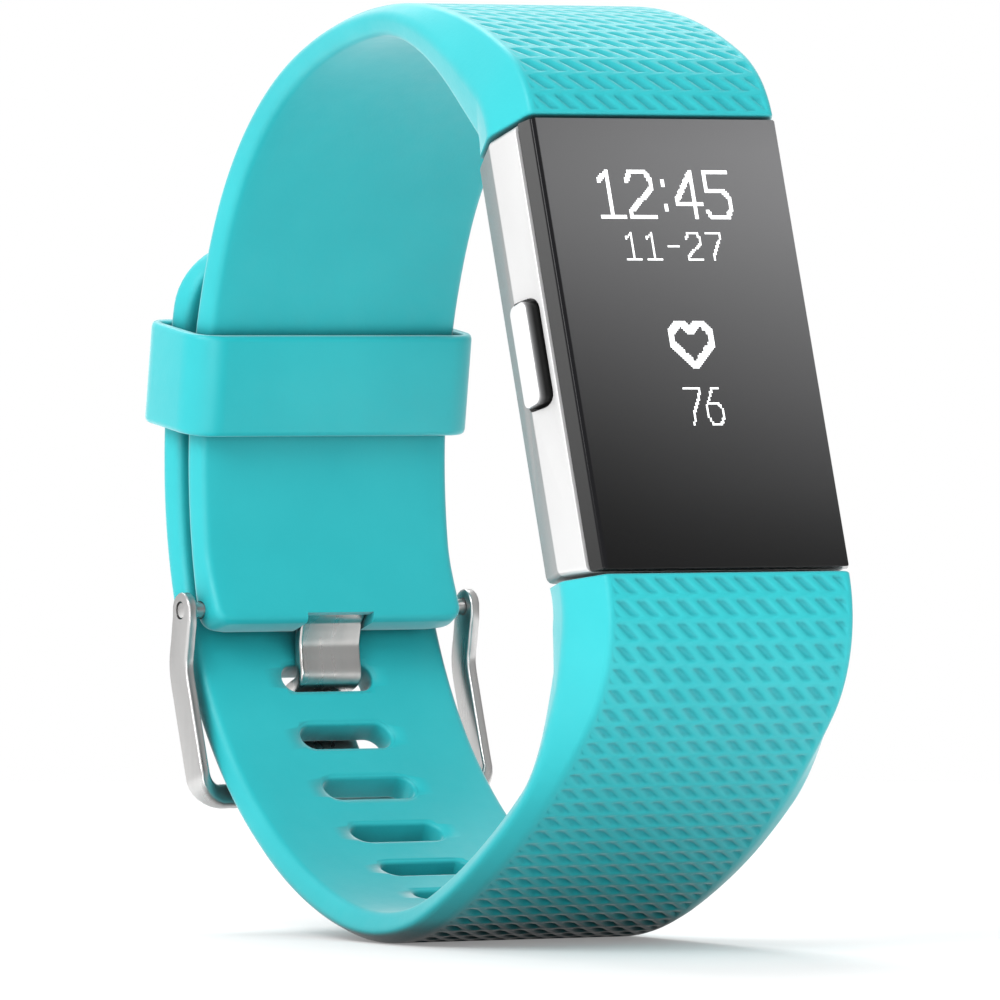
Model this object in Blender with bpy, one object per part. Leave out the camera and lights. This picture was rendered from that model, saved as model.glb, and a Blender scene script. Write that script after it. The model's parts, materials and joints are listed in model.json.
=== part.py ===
"""Fitness tracker band: a slim tracker on a two-piece elastomer strap, buckled into a loop.

Units: metres, written as millimetres times MM. +X runs across the band (the wrist's axis), -Y is the
side the display faces, +Z is up. The loop stands on its lowest point at Z = 0.
"""

import math

import bmesh
import bpy
from mathutils import Matrix, Vector

MM = 0.001

# Tracker body, in its own frame: x across, y along the band, z out of the display (0 = glass face)
FACE_Y = -25.14
FACE_Z = 40.17
LEAN_BACK_DEG = 17.9
GLASS_HALF_X, GLASS_HALF_Y = 9.25, 15.4
SEAM_HALF_X, SEAM_HALF_Y, SEAM_Z = 9.8, 15.3, -1.0
RIDGE_HALF_X, RIDGE_HALF_Y, RIDGE_Z = 10.72, 14.87, -3.45
BACK_HALF_X, BACK_HALF_Y, BACK_Z = 9.7, 14.4, -6.7
CASE_TOP_Z = -1.25
CAVITY_HALF_X, CAVITY_HALF_Y, CAVITY_CORNER = 8.7, 13.2, 1.0
STACK_GAP = 0.06

# Side button
BUTTON_LENGTH, BUTTON_HEIGHT, BUTTON_CORNER = 7.0, 2.1, 0.6
BUTTON_Z = -2.85
BUTTON_OUT_X, BUTTON_IN_X = -10.98, -9.78
BUTTON_TRAVEL = 0.4
BUTTON_CLEARANCE = 0.2
STEM_R, STEM_Z = 0.5, -3.4

# Vibration motor
MOTOR_Y = 9.3
MOTOR_R = 3.5
MOTOR_TOP_Z, MOTOR_BOTTOM_Z = -2.9, -5.2
MOTOR_WALL = 0.25

# Strap section, as (at the tracker, along the band)
FLAT_HALF = (9.25, 8.85)
EDGE_HALF = (10.72, 10.1)
INNER_HALF = (9.7, 9.6)
EDGE_DEPTH = (3.45, 0.65)
STRAP_DEPTH = (6.7, 2.1)
UPPER_TAPER, LOWER_TAPER = (2.0, 23.0), (5.0, 19.5)
UPPER_NARROWING, LOWER_NARROWING = (0.0, 23.0), (26.0, 60.0)
BUCKLE_END_CORNER = 1.2
BUCKLE_END_SWELL, SWELL_LENGTH = 0.75, 6.0
END_GAP = 0.3
END_TILT_DEG, LEAN_LENGTH = 8.5, 9.0

# Strap paths along the outer face: (length, turn in degrees towards the wrist)
UPPER_ARCS = ((5.7, 45.5), (27.7, 50.0), (17.1, 41.2), (29.13, 43.05))
LOWER_ARCS = ((10.45, 59.83), (23.76, 24.79), (12.99, 35.44), (13.28, 23.13))
BACK_GAP = 1.4
TIP_RISE_DEG = 21.2
TIP_CORNER_R = 4.5
PATH_STEP = 1.5

# Slots in the lower strap
SLOT_LENGTH, SLOT_WIDTH, SLOT_PITCH = 7.0, 2.0, 5.1
SLOTS_TO_TIP, SLOTS_TO_TRACKER = 2, 5

# Buckle
PIN_R, PIN_BORE_R, PIN_HALF = 0.55, 0.62, 11.45
PIN_FROM_END, PIN_DEPTH = 1.48, 1.0
SLOT_REACH = 4.7
LEG_IN_X, LEG_OUT_X, LEG_WIDTH, LEG_EYE_R = 10.75, 11.5, 2.4, 1.25
KINK = (0.5, -4.2)
CROSSBAR_FROM_PIN, CROSSBAR_GAP = 12.9, 0.3
CROSSBAR_WIDTH, CROSSBAR_THICKNESS = 2.0, 1.1
TONGUE_HALF, TONGUE_THICK = 2.25, 0.9
TONGUE_EYE_R, NOTCH_R, NOTCH_HALF, NOTCH_LIP = 1.25, 1.38, 2.6, 0.8
TONGUE_DROP = ((-0.4, -0.8), (-0.25, -1.6), (-0.12, -2.5), (-0.15, -3.45))

# Keeper loop
KEEPER_HEIGHT, KEEPER_CLEARANCE = 6.95, 0.2
KEEPER_WALL, KEEPER_SIDE_WALL = 1.3, 0.95
KEEPER_ANGLE_DEG = 8.5
KEEPER_CORNER_R = 2.4

# Metal end fittings of the strap
FITTING_HALF_X = 6.5
LATCH_HALF_X = 3.0
LATCH_TRAVEL = 0.5

COLOURS = {
    "silicone": ((0.06, 0.58, 0.62), 0.55, 0.0),
    "silicone_smooth": ((0.05, 0.55, 0.59), 0.45, 0.0),
    "aluminium": ((0.74, 0.75, 0.76), 0.35, 1.0),
    "steel": ((0.55, 0.55, 0.56), 0.28, 1.0),
    "glass": ((0.02, 0.02, 0.025), 0.05, 0.0),
    "display": ((0.01, 0.01, 0.012), 0.3, 0.0),
    "black_rubber": ((0.02, 0.02, 0.02), 0.7, 0.0),
    "black_plastic": ((0.03, 0.03, 0.035), 0.4, 0.0),
    "circuit_board": ((0.03, 0.16, 0.07), 0.5, 0.0),
    "battery_wrap": ((0.62, 0.63, 0.65), 0.45, 0.2),
    "led_green": ((0.1, 0.75, 0.25), 0.3, 0.0),
    "gold": ((0.83, 0.62, 0.25), 0.3, 1.0),
    "tungsten": ((0.30, 0.30, 0.31), 0.4, 1.0),
    "sensor_glass": ((0.05, 0.06, 0.07), 0.08, 0.0),
}


def clear_scene():
    for obj in list(bpy.data.objects):
        bpy.data.objects.remove(obj, do_unlink=True)
    for collection in list(bpy.data.collections):
        bpy.data.collections.remove(collection)


def make_collection(name, hidden):
    collection = bpy.data.collections.new(name)
    bpy.context.scene.collection.children.link(collection)
    collection.hide_render = hidden
    return collection


def make_materials():
    made = {}
    for name, (colour, roughness, metallic) in COLOURS.items():
        material = bpy.data.materials.new(name)
        material.use_nodes = True
        shader = material.node_tree.nodes["Principled BSDF"]
        shader.inputs["Base Color"].default_value = (*colour, 1.0)
        shader.inputs["Roughness"].default_value = roughness
        shader.inputs["Metallic"].default_value = metallic
        made[name] = material
    return made


clear_scene()
PARTS = make_collection("fitness_tracker_band", False)
CUTTERS = make_collection("cutters", True)
MATERIALS = make_materials()


# ---------------------------------------------------------------- building helpers
def add_object(name, mesh, material=None, parent=None, smooth=False):
    """A new object from a mesh: a part when it has a material, else a cutter."""
    obj = bpy.data.objects.new(name, mesh)
    if material:
        mesh.materials.append(MATERIALS[material])
        PARTS.objects.link(obj)
    else:
        obj.hide_render = True
        obj.display_type = "WIRE"
        CUTTERS.objects.link(obj)
    if parent:
        obj.parent = parent
    if smooth:
        mesh.shade_smooth()
        mesh.set_sharp_from_angle(angle=math.radians(35))
    return obj


def finish_mesh(name, bm):
    bmesh.ops.recalc_face_normals(bm, faces=bm.faces)
    mesh = bpy.data.meshes.new(name)
    bm.to_mesh(mesh)
    bm.free()
    return mesh


def box(name, low, high, material=None, parent=None, bevel=0.0):
    """A box between two corners, in millimetres of its parent's frame."""
    low, high = Vector(low), Vector(high)
    bm = bmesh.new()
    bmesh.ops.create_cube(bm, size=1.0)
    size = (high - low) * MM
    bmesh.ops.scale(bm, vec=size, verts=bm.verts)
    if bevel:
        bmesh.ops.bevel(bm, geom=bm.edges[:], offset=bevel * MM, segments=1, affect="EDGES")
    bmesh.ops.translate(bm, vec=(low + high) * 0.5 * MM, verts=bm.verts)
    return add_object(name, finish_mesh(name, bm), material, parent)


def cylinder(name, start, end, radius, material=None, parent=None, segments=32):
    """A round bar from start to end, in millimetres of its parent's frame."""
    start, end = Vector(start), Vector(end)
    bm = bmesh.new()
    bmesh.ops.create_cone(
        bm,
        cap_ends=True,
        segments=segments,
        radius1=radius * MM,
        radius2=radius * MM,
        depth=(end - start).length * MM,
    )
    turn = Vector((0, 0, 1)).rotation_difference(end - start).to_matrix().to_4x4()
    place = Matrix.Translation((start + end) * 0.5 * MM) @ turn
    bmesh.ops.transform(bm, matrix=place, verts=bm.verts)
    return add_object(name, finish_mesh(name, bm), material, parent, smooth=True)


def loft(name, rings, material=None, parent=None, smooth=False):
    """A closed solid through rings of points (millimetres), capped at both ends."""
    bm = bmesh.new()
    rows = [[bm.verts.new(Vector(point) * MM) for point in ring] for ring in rings]
    count = len(rows[0])
    for first, second in zip(rows, rows[1:]):
        for i in range(count):
            j = (i + 1) % count
            bm.faces.new((first[i], first[j], second[j], second[i]))
    bm.faces.new(rows[0])
    bm.faces.new(reversed(rows[-1]))
    return add_object(name, finish_mesh(name, bm), material, parent, smooth)


def rounded_rectangle(half_x, half_y, radius, z, steps=3):
    """Points of a rounded rectangle in the plane z."""
    points = []
    for quarter, (sx, sy) in enumerate(((1, 1), (-1, 1), (-1, -1), (1, -1))):
        for step in range(steps + 1):
            angle = math.radians(90 * quarter + 90 * step / steps)
            x = sx * (half_x - radius) + radius * math.cos(angle)
            y = sy * (half_y - radius) + radius * math.sin(angle)
            points.append((x, y, z))
    return points


def cut(obj, cutter, operation="DIFFERENCE"):
    modifier = obj.modifiers.new(operation.lower() + "_" + cutter.name, "BOOLEAN")
    modifier.object = cutter
    modifier.operation = operation


def join_ring(name, outer, inner, material, parent):
    """A frame: the outer rounded rectangle loft with the inner one cut through it."""
    body = loft(name, outer, material, parent)
    cut(body, loft(name + "_hole", inner, None, parent))
    return body


def empty(name, location, rotation_x=0.0):
    guide = bpy.data.objects.new(name, None)
    guide.location = Vector(location) * MM
    guide.rotation_euler = (rotation_x, 0.0, 0.0)
    PARTS.objects.link(guide)
    return guide


# ---------------------------------------------------------------- strap paths, in the YZ plane
def heading_vector(heading):
    return Vector((math.cos(heading), math.sin(heading)))


class Path:
    """Points and headings along a chain of arcs; sign is -1 when the wrist is to the right.

    The strap on it is thick up to taper[0] and thin from taper[1], and it narrows from narrowing[0]
    to narrowing[1]; end_swell thickens its free end.
    """

    def __init__(self, start, heading, sign, taper, narrowing, end_swell=0.0):
        self.point = Vector(start)
        self.heading = heading
        self.sign = sign
        self.taper = taper
        self.narrowing = narrowing
        self.end_swell = end_swell
        self.length = 0.0
        self.stations = [(0.0, self.point.copy(), heading)]

    def arc(self, length, turn):
        steps = max(2, round(length / PATH_STEP), math.ceil(turn / math.radians(9)))
        chord = 2 * (length / turn) * math.sin(turn / steps / 2) if turn else length / steps
        for _ in range(steps):
            middle = self.heading + self.sign * turn / steps / 2
            self.point = self.point + heading_vector(middle) * chord
            self.heading += self.sign * turn / steps
            self.length += length / steps
            self.stations.append((self.length, self.point.copy(), self.heading))

    def at(self, s):
        """Point and heading at arc length s, between the stations."""
        for (s0, p0, h0), (s1, p1, h1) in zip(self.stations, self.stations[1:]):
            if s <= s1 or s1 == self.length:
                t = (s - s0) / (s1 - s0)
                return p0.lerp(p1, t), h0 + (h1 - h0) * t

    def inward(self, heading):
        """Unit vector from the outer face towards the wrist."""
        return Vector((-math.sin(heading), math.cos(heading))) * self.sign


TILT = math.radians(90 - LEAN_BACK_DEG)
UP = Vector((math.cos(TILT), math.sin(TILT)))
FACE = Vector((FACE_Y, FACE_Z))


def upper_path():
    path = Path(FACE + UP * (GLASS_HALF_Y + END_GAP), TILT, -1, UPPER_TAPER, UPPER_NARROWING, BUCKLE_END_SWELL)
    for length, turn in UPPER_ARCS:
        path.arc(length, math.radians(turn))
    return path


def back_circle(path):
    """Centre and radius of the upper strap's last arc, which the lower strap and keeper share."""
    length, turn = UPPER_ARCS[-1]
    radius = length / math.radians(turn)
    return path.point + path.inward(path.heading) * radius, radius


def lower_path(centre, radius):
    """The lower strap's path: its own arcs, one arc tangent to the back circle, then that circle."""
    path = Path(FACE - UP * (GLASS_HALF_Y + END_GAP), TILT - math.pi, 1, LOWER_TAPER, LOWER_NARROWING)
    for length, turn in LOWER_ARCS:
        path.arc(length, math.radians(turn))
    inward = path.inward(path.heading)
    offset = path.point - centre
    blend = (radius**2 - offset.dot(offset)) / (2 * (offset.dot(inward) + radius))
    to_touch = path.point + inward * blend - centre
    touch_heading = math.atan2(to_touch.y, to_touch.x) + math.pi / 2
    turn = (touch_heading - path.heading) % (2 * math.pi)
    path.arc(blend * turn, turn)
    turn = math.radians(TIP_RISE_DEG + 90) - (path.heading - 2 * math.pi * (path.heading > math.pi))
    path.arc(radius * turn, turn)
    return path


UPPER = upper_path()
BACK_CENTRE, UPPER_BACK_R = back_circle(UPPER)
LOWER_BACK_R = UPPER_BACK_R + BACK_GAP + STRAP_DEPTH[1]
LOWER = lower_path(BACK_CENTRE, LOWER_BACK_R)


def ease(t):
    """0 to 1 with a level start and end."""
    t = min(1.0, max(0.0, t))
    return t * t * (3 - 2 * t)


def strap_section(path, s):
    """Half widths and depths of the strap's section at arc length s."""
    full_until, thin_from = path.taper
    wide_until, narrow_from = path.narrowing
    narrow = min(1.0, max(0.0, (narrow_from - s) / (narrow_from - wide_until)))
    thin = 1.0 - ease((s - full_until) / (thin_from - full_until))
    sizes = [end + (start - end) * narrow for start, end in (FLAT_HALF, EDGE_HALF, INNER_HALF)]
    edge = EDGE_DEPTH[1] + (EDGE_DEPTH[0] - EDGE_DEPTH[1]) * thin
    depth = STRAP_DEPTH[1] + (STRAP_DEPTH[0] - STRAP_DEPTH[1]) * thin
    depth += path.end_swell * ease(1.0 - (path.length - s) / SWELL_LENGTH)
    return (*sizes, edge, depth)


def strap_ring(path, s, point, heading, inset):
    """Six points around the strap at one station: flat face, side edges, inner face."""
    flat, edge, inner, edge_depth, depth = strap_section(path, s)
    lean = math.radians(END_TILT_DEG) * max(0.0, 1.0 - s / LEAN_LENGTH)
    down = path.inward(heading)
    down = down * math.cos(lean) - heading_vector(heading) * math.sin(lean)
    ring = []
    for x, d in ((flat, 0), (edge, edge_depth), (inner, depth), (-inner, depth), (-edge, edge_depth), (-flat, 0)):
        place = point + down * d
        ring.append((math.copysign(abs(x) - inset, x), place.x, place.y))
    return ring


def strap_solid(name, path, end_corner):
    """The strap lofted along its path, its free end rounded in plan with the given corner radius."""
    rings = []
    for s, point, heading in path.stations:
        if s <= path.length - end_corner:
            rings.append(strap_ring(path, s, point, heading, 0.0))
    for step in range(5):
        angle = math.radians(85 * step / 4)
        s = path.length - end_corner * (1 - math.sin(angle))
        point, heading = path.at(s)
        rings.append(strap_ring(path, s, point, heading, end_corner * (1 - math.cos(angle))))
    return loft(name, rings, "silicone")


def in_strap_frame(path, s, x, along, outward):
    """World point (mm) at arc length s + along, lifted outward from the outer face."""
    point, heading = path.at(s)
    place = point + heading_vector(heading) * along - path.inward(heading) * outward
    return (x, place.x, place.y)


# ---------------------------------------------------------------- tracker body
def case_section(z):
    """Half sizes of the case's outside at height z."""
    stations = (
        (SEAM_Z, SEAM_HALF_X, SEAM_HALF_Y),
        (RIDGE_Z, RIDGE_HALF_X, RIDGE_HALF_Y),
        (BACK_Z, BACK_HALF_X, BACK_HALF_Y),
    )
    for (z0, x0, y0), (z1, x1, y1) in zip(stations, stations[1:]):
        if z >= z1:
            t = (z - z0) / (z1 - z0)
            return x0 + (x1 - x0) * t, y0 + (y1 - y0) * t


def key_shape(name, x0, x1, grow, parent, material=None):
    """The button's outline in the YZ plane, wider all round by grow, run from x0 to x1."""
    half_y, half_z = BUTTON_LENGTH / 2 + grow, BUTTON_HEIGHT / 2 + grow
    outline = rounded_rectangle(half_y, half_z, BUTTON_CORNER + grow, 0.0, steps=5)
    rings = [[(x, y, BUTTON_Z + rise) for y, rise, _ in outline] for x in (x0, x1)]
    return loft(name, rings, material, parent)


def build_case(tracker):
    rings = []
    for z in (BACK_Z, RIDGE_Z, CASE_TOP_Z):
        half_x, half_y = case_section(z)
        rings.append(rounded_rectangle(half_x, half_y, 0.45, z))
    case = loft("case_frame", rings, "aluminium", tracker)
    cavity = [
        rounded_rectangle(CAVITY_HALF_X, CAVITY_HALF_Y, CAVITY_CORNER, z) for z in (BACK_Z - 1, 0.5)
    ]
    cut(case, loft("case_cavity", cavity, None, tracker))
    cut(case, key_shape("button_recess", -12.0, -9.3, BUTTON_CLEARANCE, tracker))
    cut(case, cylinder("seal_seat", (-9.5, 0, STEM_Z), (-9.0, 0, STEM_Z), 1.1, None, tracker))
    cut(case, cylinder("stem_bore", (-9.5, 0, STEM_Z), (-8.0, 0, STEM_Z), STEM_R + 0.08, None, tracker))
    for side, sign in (("upper", 1), ("lower", -1)):
        y0, y1 = sorted((sign * 14.0, sign * 16.0))
        cut(case, box(side + "_hook_slot", (-6.1, y0, -4.3), (6.1, y1, -2.7), None, tracker))
        cut(case, box(side + "_latch_catch", (-3.3, y0, -5.75), (3.3, y1, -4.85), None, tracker))


def build_glass(tracker):
    rings = [
        rounded_rectangle(SEAM_HALF_X, SEAM_HALF_Y, 0.45, -0.95),
        rounded_rectangle(GLASS_HALF_X, GLASS_HALF_Y, 0.45, 0.0),
    ]
    loft("cover_glass", rings, "glass", tracker)
    outer = [rounded_rectangle(SEAM_HALF_X - 0.12, SEAM_HALF_Y - 0.12, 0.4, z) for z in (-1.2, -1.0)]
    inner = [rounded_rectangle(8.75, 13.25, 0.9, z) for z in (-1.5, -0.5)]
    join_ring("lens_gasket", outer, inner, "black_rubber", tracker)


def build_electronics(tracker):
    box("display_panel", (-8.4, -12.9, -1.95), (8.4, 12.9, -1.05), "display", tracker)
    board = box("main_board", (-8.3, -12.8, -2.65), (8.3, 12.8, -2.05), "circuit_board", tracker)
    cut(board, box("board_flex_notch", (-2.6, -13.5, -3.0), (2.6, -12.1, -1.5), None, tracker))
    box("battery", (-6.2, -10.6, -5.3), (6.4, 4.9, -2.8), "battery_wrap", tracker, bevel=0.4)
    box("display_flex", (-2.4, -12.9, -2.75), (2.4, -12.3, -2.0), "gold", tracker)
    box("sensor_board", (-5.2, -6.2, -5.72), (5.2, 6.2, -5.42), "circuit_board", tracker)
    box("motion_sensor", (4.8, 7.2, -3.6), (7.6, 10.0, -2.72), "black_plastic", tracker, bevel=0.08)


def build_side_button(tracker):
    button = key_shape("side_button", BUTTON_OUT_X, BUTTON_IN_X, 0.0, tracker, "aluminium")
    stem = cylinder("button_stem", (-10.2, 0, STEM_Z), (-8.45, 0, STEM_Z), STEM_R, None, tracker, 24)
    cut(button, stem, "UNION")
    seal = cylinder("button_seal", (-9.27, 0, STEM_Z), (-9.04, 0, STEM_Z), 1.04, "black_rubber", tracker)
    cut(seal, cylinder("seal_hole", (-9.6, 0, STEM_Z), (-8.6, 0, STEM_Z), STEM_R + 0.06, None, tracker))
    switch = box("tactile_switch", (-7.9, -1.8, -4.3), (-6.55, 1.8, -2.72), "black_plastic", tracker)
    bore_start, bore_end = (-8.2, 0, STEM_Z), (-6.85, 0, STEM_Z)
    cut(switch, cylinder("plunger_bore", bore_start, bore_end, 0.55, None, tracker, 24))
    cylinder("switch_plunger", (-8.4, 0, STEM_Z), (-7.3, 0, STEM_Z), 0.48, "black_plastic", tracker, 24)


def build_motor(tracker):
    centre = (0, MOTOR_Y)
    cup = cylinder("motor_case", (*centre, MOTOR_BOTTOM_Z), (*centre, MOTOR_TOP_Z), MOTOR_R, "steel", tracker, 40)
    inside_r = MOTOR_R - MOTOR_WALL
    inside_low = MOTOR_BOTTOM_Z + MOTOR_WALL
    cut(cup, cylinder("motor_hollow", (*centre, inside_low), (*centre, -2.0), inside_r, None, tracker, 40))
    cylinder("motor_shaft", (*centre, inside_low + 0.05), (*centre, -2.95), 0.38, "steel", tracker, 20)
    rotor = cylinder("motor_rotor", (*centre, -4.75), (*centre, -3.2), 3.0, "tungsten", tracker, 40)
    rotor_low = (-4.0, MOTOR_Y + 0.2, -6.0)
    cut(rotor, box("rotor_half", rotor_low, (4.0, MOTOR_Y + 5.0, -2.0), None, tracker))
    hub = cylinder("rotor_hub", (*centre, -4.75), (*centre, -3.2), 1.1, None, tracker, 28)
    cut(rotor, hub, "UNION")
    cut(rotor, cylinder("rotor_bore", (*centre, -6), (*centre, -2), 0.44, None, tracker, 20))


def build_rear(tracker):
    rings = [
        rounded_rectangle(8.3, 12.8, 1.0, -5.85),
        rounded_rectangle(8.3, 12.8, 1.0, -6.78),
        rounded_rectangle(9.35, 14.05, 1.2, -6.80),
        rounded_rectangle(9.35, 14.05, 1.2, -7.05),
        rounded_rectangle(8.6, 13.3, 1.6, -7.45),
        rounded_rectangle(6.6, 10.2, 2.4, -7.95),
        rounded_rectangle(5.9, 9.4, 2.4, -8.05),
    ]
    cover = loft("rear_cover", rings, "black_plastic", tracker)
    window_seat = [rounded_rectangle(4.3, 5.3, 1.6, z) for z in (-9.0, -7.45)]
    cut(cover, loft("window_seat", window_seat, None, tracker))
    sensor_well = [rounded_rectangle(3.3, 4.3, 0.8, z) for z in (-8.0, -5.0)]
    cut(cover, loft("sensor_well", sensor_well, None, tracker))
    glass = [rounded_rectangle(4.22, 5.22, 1.6, z) for z in (-8.05, -7.5)]
    loft("sensor_window", glass, "sensor_glass", tracker)
    seal_out = [rounded_rectangle(8.64, 13.14, 1.0, z) for z in (-6.6, -6.1)]
    seal_in = [rounded_rectangle(8.36, 12.86, 1.0, z) for z in (-7.5, -5.5)]
    join_ring("rear_seal", seal_out, seal_in, "black_rubber", tracker)
    for name, y in (("heart_led_1", 2.6), ("heart_led_2", -2.6)):
        box(name, (-0.9, y - 0.7, -6.6), (0.9, y + 0.7, -5.78), "led_green", tracker)
    box("photodiode", (-1.3, -1.2, -6.5), (1.3, 1.2, -5.78), "black_plastic", tracker)
    for name, x in (("charge_contact_1", -2.0), ("charge_contact_2", 2.0)):
        bore = cylinder(name + "_bore", (x, -7.4, -9.0), (x, -7.4, -5.0), 0.85, None, tracker, 24)
        cut(cover, bore)
        cylinder(name, (x, -7.4, -8.05), (x, -7.4, -5.9), 0.8, "gold", tracker, 24)


# ---------------------------------------------------------------- strap end fittings
def build_fitting(side, sign, tracker, strap):
    """The metal hook plate, sprung latch and leaf spring in a strap's tracker end."""

    def y_range(near, far):
        return sorted((sign * near, sign * far))

    def part(name, x, near, far, low, high, material=None):
        y0, y1 = y_range(near, far)
        return box(name, (-x, y0, low), (x, y1, high), material, tracker)

    cut(strap, part(side + "_fitting_pocket", FITTING_HALF_X + 0.15, 13.5, 18.2, -4.78, -2.5))
    cut(strap, part(side + "_latch_pocket", LATCH_HALF_X + 0.2, 13.5, 18.55, -9.5, -4.7))
    plate = part(side + "_end_fitting", FITTING_HALF_X, 15.75, 18.05, -4.68, -2.62, "steel")
    cut(plate, part(side + "_hook", 5.95, 14.1, 15.9, -4.15, -2.85), "UNION")
    latch = part(side + "_latch", LATCH_HALF_X, 15.75, 17.5, -6.85, -4.82, "aluminium")
    cut(latch, part(side + "_latch_tooth", LATCH_HALF_X - 0.3, 14.3, 15.9, -5.6, -4.98), "UNION")
    part(side + "_latch_spring", LATCH_HALF_X - 0.5, 18.1, 18.4, -6.3, -5.1, "steel")


# ---------------------------------------------------------------- straps, buckle and keeper
def build_straps(tracker):
    upper = strap_solid("buckle_strap", UPPER, BUCKLE_END_CORNER)
    lower = strap_solid("holed_strap", LOWER, TIP_CORNER_R)
    build_fitting("upper", 1, tracker, upper)
    build_fitting("lower", -1, tracker, lower)
    cut_slots(lower)
    pin_y, pin_z = PIN_CENTRE
    cut(upper, cylinder("pin_bore", (-14, pin_y, pin_z), (14, pin_y, pin_z), PIN_BORE_R, None, None, 24))
    cut(upper, loft("tongue_notch", [notch_ring(x) for x in (-NOTCH_HALF, NOTCH_HALF)]))


PIN_CENTRE = Vector(in_strap_frame(UPPER, UPPER.length - PIN_FROM_END, 0.0, 0.0, -PIN_DEPTH)[1:])


def notch_ring(x):
    """The notch for the tongue: round behind and under the pin, open to the outer face and the end.

    A lip of the inner face reaches past the pin and hides most of the eye.
    """
    heading = UPPER.stations[-1][2]
    along, inward = heading_vector(heading), UPPER.inward(heading)
    far, open_out, open_in = PIN_FROM_END + 2.0, -PIN_DEPTH - 1.0, STRAP_DEPTH[1] + 2.0
    outline = [(far, open_out), (-NOTCH_R, open_out)]
    lip_angle = math.degrees(math.acos(NOTCH_LIP / NOTCH_R))
    for step in range(7):
        angle = math.radians(180 - (180 - lip_angle) * step / 6)
        outline.append((NOTCH_R * math.cos(angle), NOTCH_R * math.sin(angle)))
    outline += [(NOTCH_LIP, open_in), (far, open_in)]
    places = [PIN_CENTRE + along * a + inward * b for a, b in outline]
    return [(x, place.x, place.y) for place in places]


def on_lower(s, outward):
    """Point in the YZ plane at arc length s of the lower strap, lifted outward from its outer face."""
    point, heading = LOWER.at(s)
    return point - LOWER.inward(heading) * outward


def tongue_slot_position():
    """Arc length on the lower strap whose inner face is the tongue's reach below the buckle pin."""
    candidates = [LOWER.length - 50 + 0.1 * i for i in range(280)]
    below = [s for s in candidates if LOWER.at(s)[0].y < PIN_CENTRE.y]
    return min(below, key=lambda s: abs((on_lower(s, -STRAP_DEPTH[1]) - PIN_CENTRE).length - SLOT_REACH))


SLOT_S = tongue_slot_position()


def cut_slots(strap):
    radius = SLOT_WIDTH / 2
    for index in range(-SLOTS_TO_TRACKER, SLOTS_TO_TIP + 1):
        s = SLOT_S + index * SLOT_PITCH
        rings = []
        for lift in (1.5, -STRAP_DEPTH[1] - 1.5):
            ring = []
            for side in (1, -1):
                for step in range(7):
                    angle = math.radians(-90 + 180 * step / 6 + (0 if side == 1 else 180))
                    x = side * (SLOT_LENGTH / 2 - radius) + radius * math.cos(angle)
                    ring.append(in_strap_frame(LOWER, s, x, radius * math.sin(angle), lift))
            rings.append(ring)
        cut(strap, loft(f"slot_{index + SLOTS_TO_TRACKER}", rings))


def build_pin():
    y, z = PIN_CENTRE
    cylinder("buckle_pin", (-PIN_HALF, y, z), (PIN_HALF, y, z), PIN_R, "steel", None, 24)


def ribbon(name, centreline, width, x0, x1, material=None, parent=None):
    """A flat bar: a centreline in the YZ plane with the given width, run from x0 to x1."""
    left, right = [], []
    for i, point in enumerate(centreline):
        before = centreline[max(i - 1, 0)]
        after = centreline[min(i + 1, len(centreline) - 1)]
        first = (point - before).normalized() if i else (after - point).normalized()
        second = (after - point).normalized() if i < len(centreline) - 1 else first
        along = (first + second).normalized()
        normal = Vector((-along.y, along.x))
        half = width / 2 / max(0.6, normal.dot(Vector((-first.y, first.x))))
        left.append(point + normal * half)
        right.append(point - normal * half)
    bm = bmesh.new()
    sides = []
    for x in (x0, x1):
        sides.append([[bm.verts.new(Vector((x, p.x, p.y)) * MM) for p in row] for row in (left, right)])
    for i in range(len(centreline) - 1):
        for left_row, right_row in sides:
            bm.faces.new((left_row[i], left_row[i + 1], right_row[i + 1], right_row[i]))
        for k in (0, 1):
            bm.faces.new((sides[0][k][i], sides[1][k][i], sides[1][k][i + 1], sides[0][k][i + 1]))
    for i in (0, -1):
        bm.faces.new((sides[0][0][i], sides[0][1][i], sides[1][1][i], sides[1][0][i]))
    return add_object(name, finish_mesh(name, bm), material, parent)


CROSSBAR_LIFT = CROSSBAR_GAP + CROSSBAR_THICKNESS / 2


def crossbar_s():
    """Arc length on the lower strap where the crossbar lies over it."""
    candidates = [SLOT_S - 0.05 * i for i in range(100, 300)]
    return min(
        candidates, key=lambda s: abs((on_lower(s, CROSSBAR_LIFT) - PIN_CENTRE).length - CROSSBAR_FROM_PIN)
    )


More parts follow.
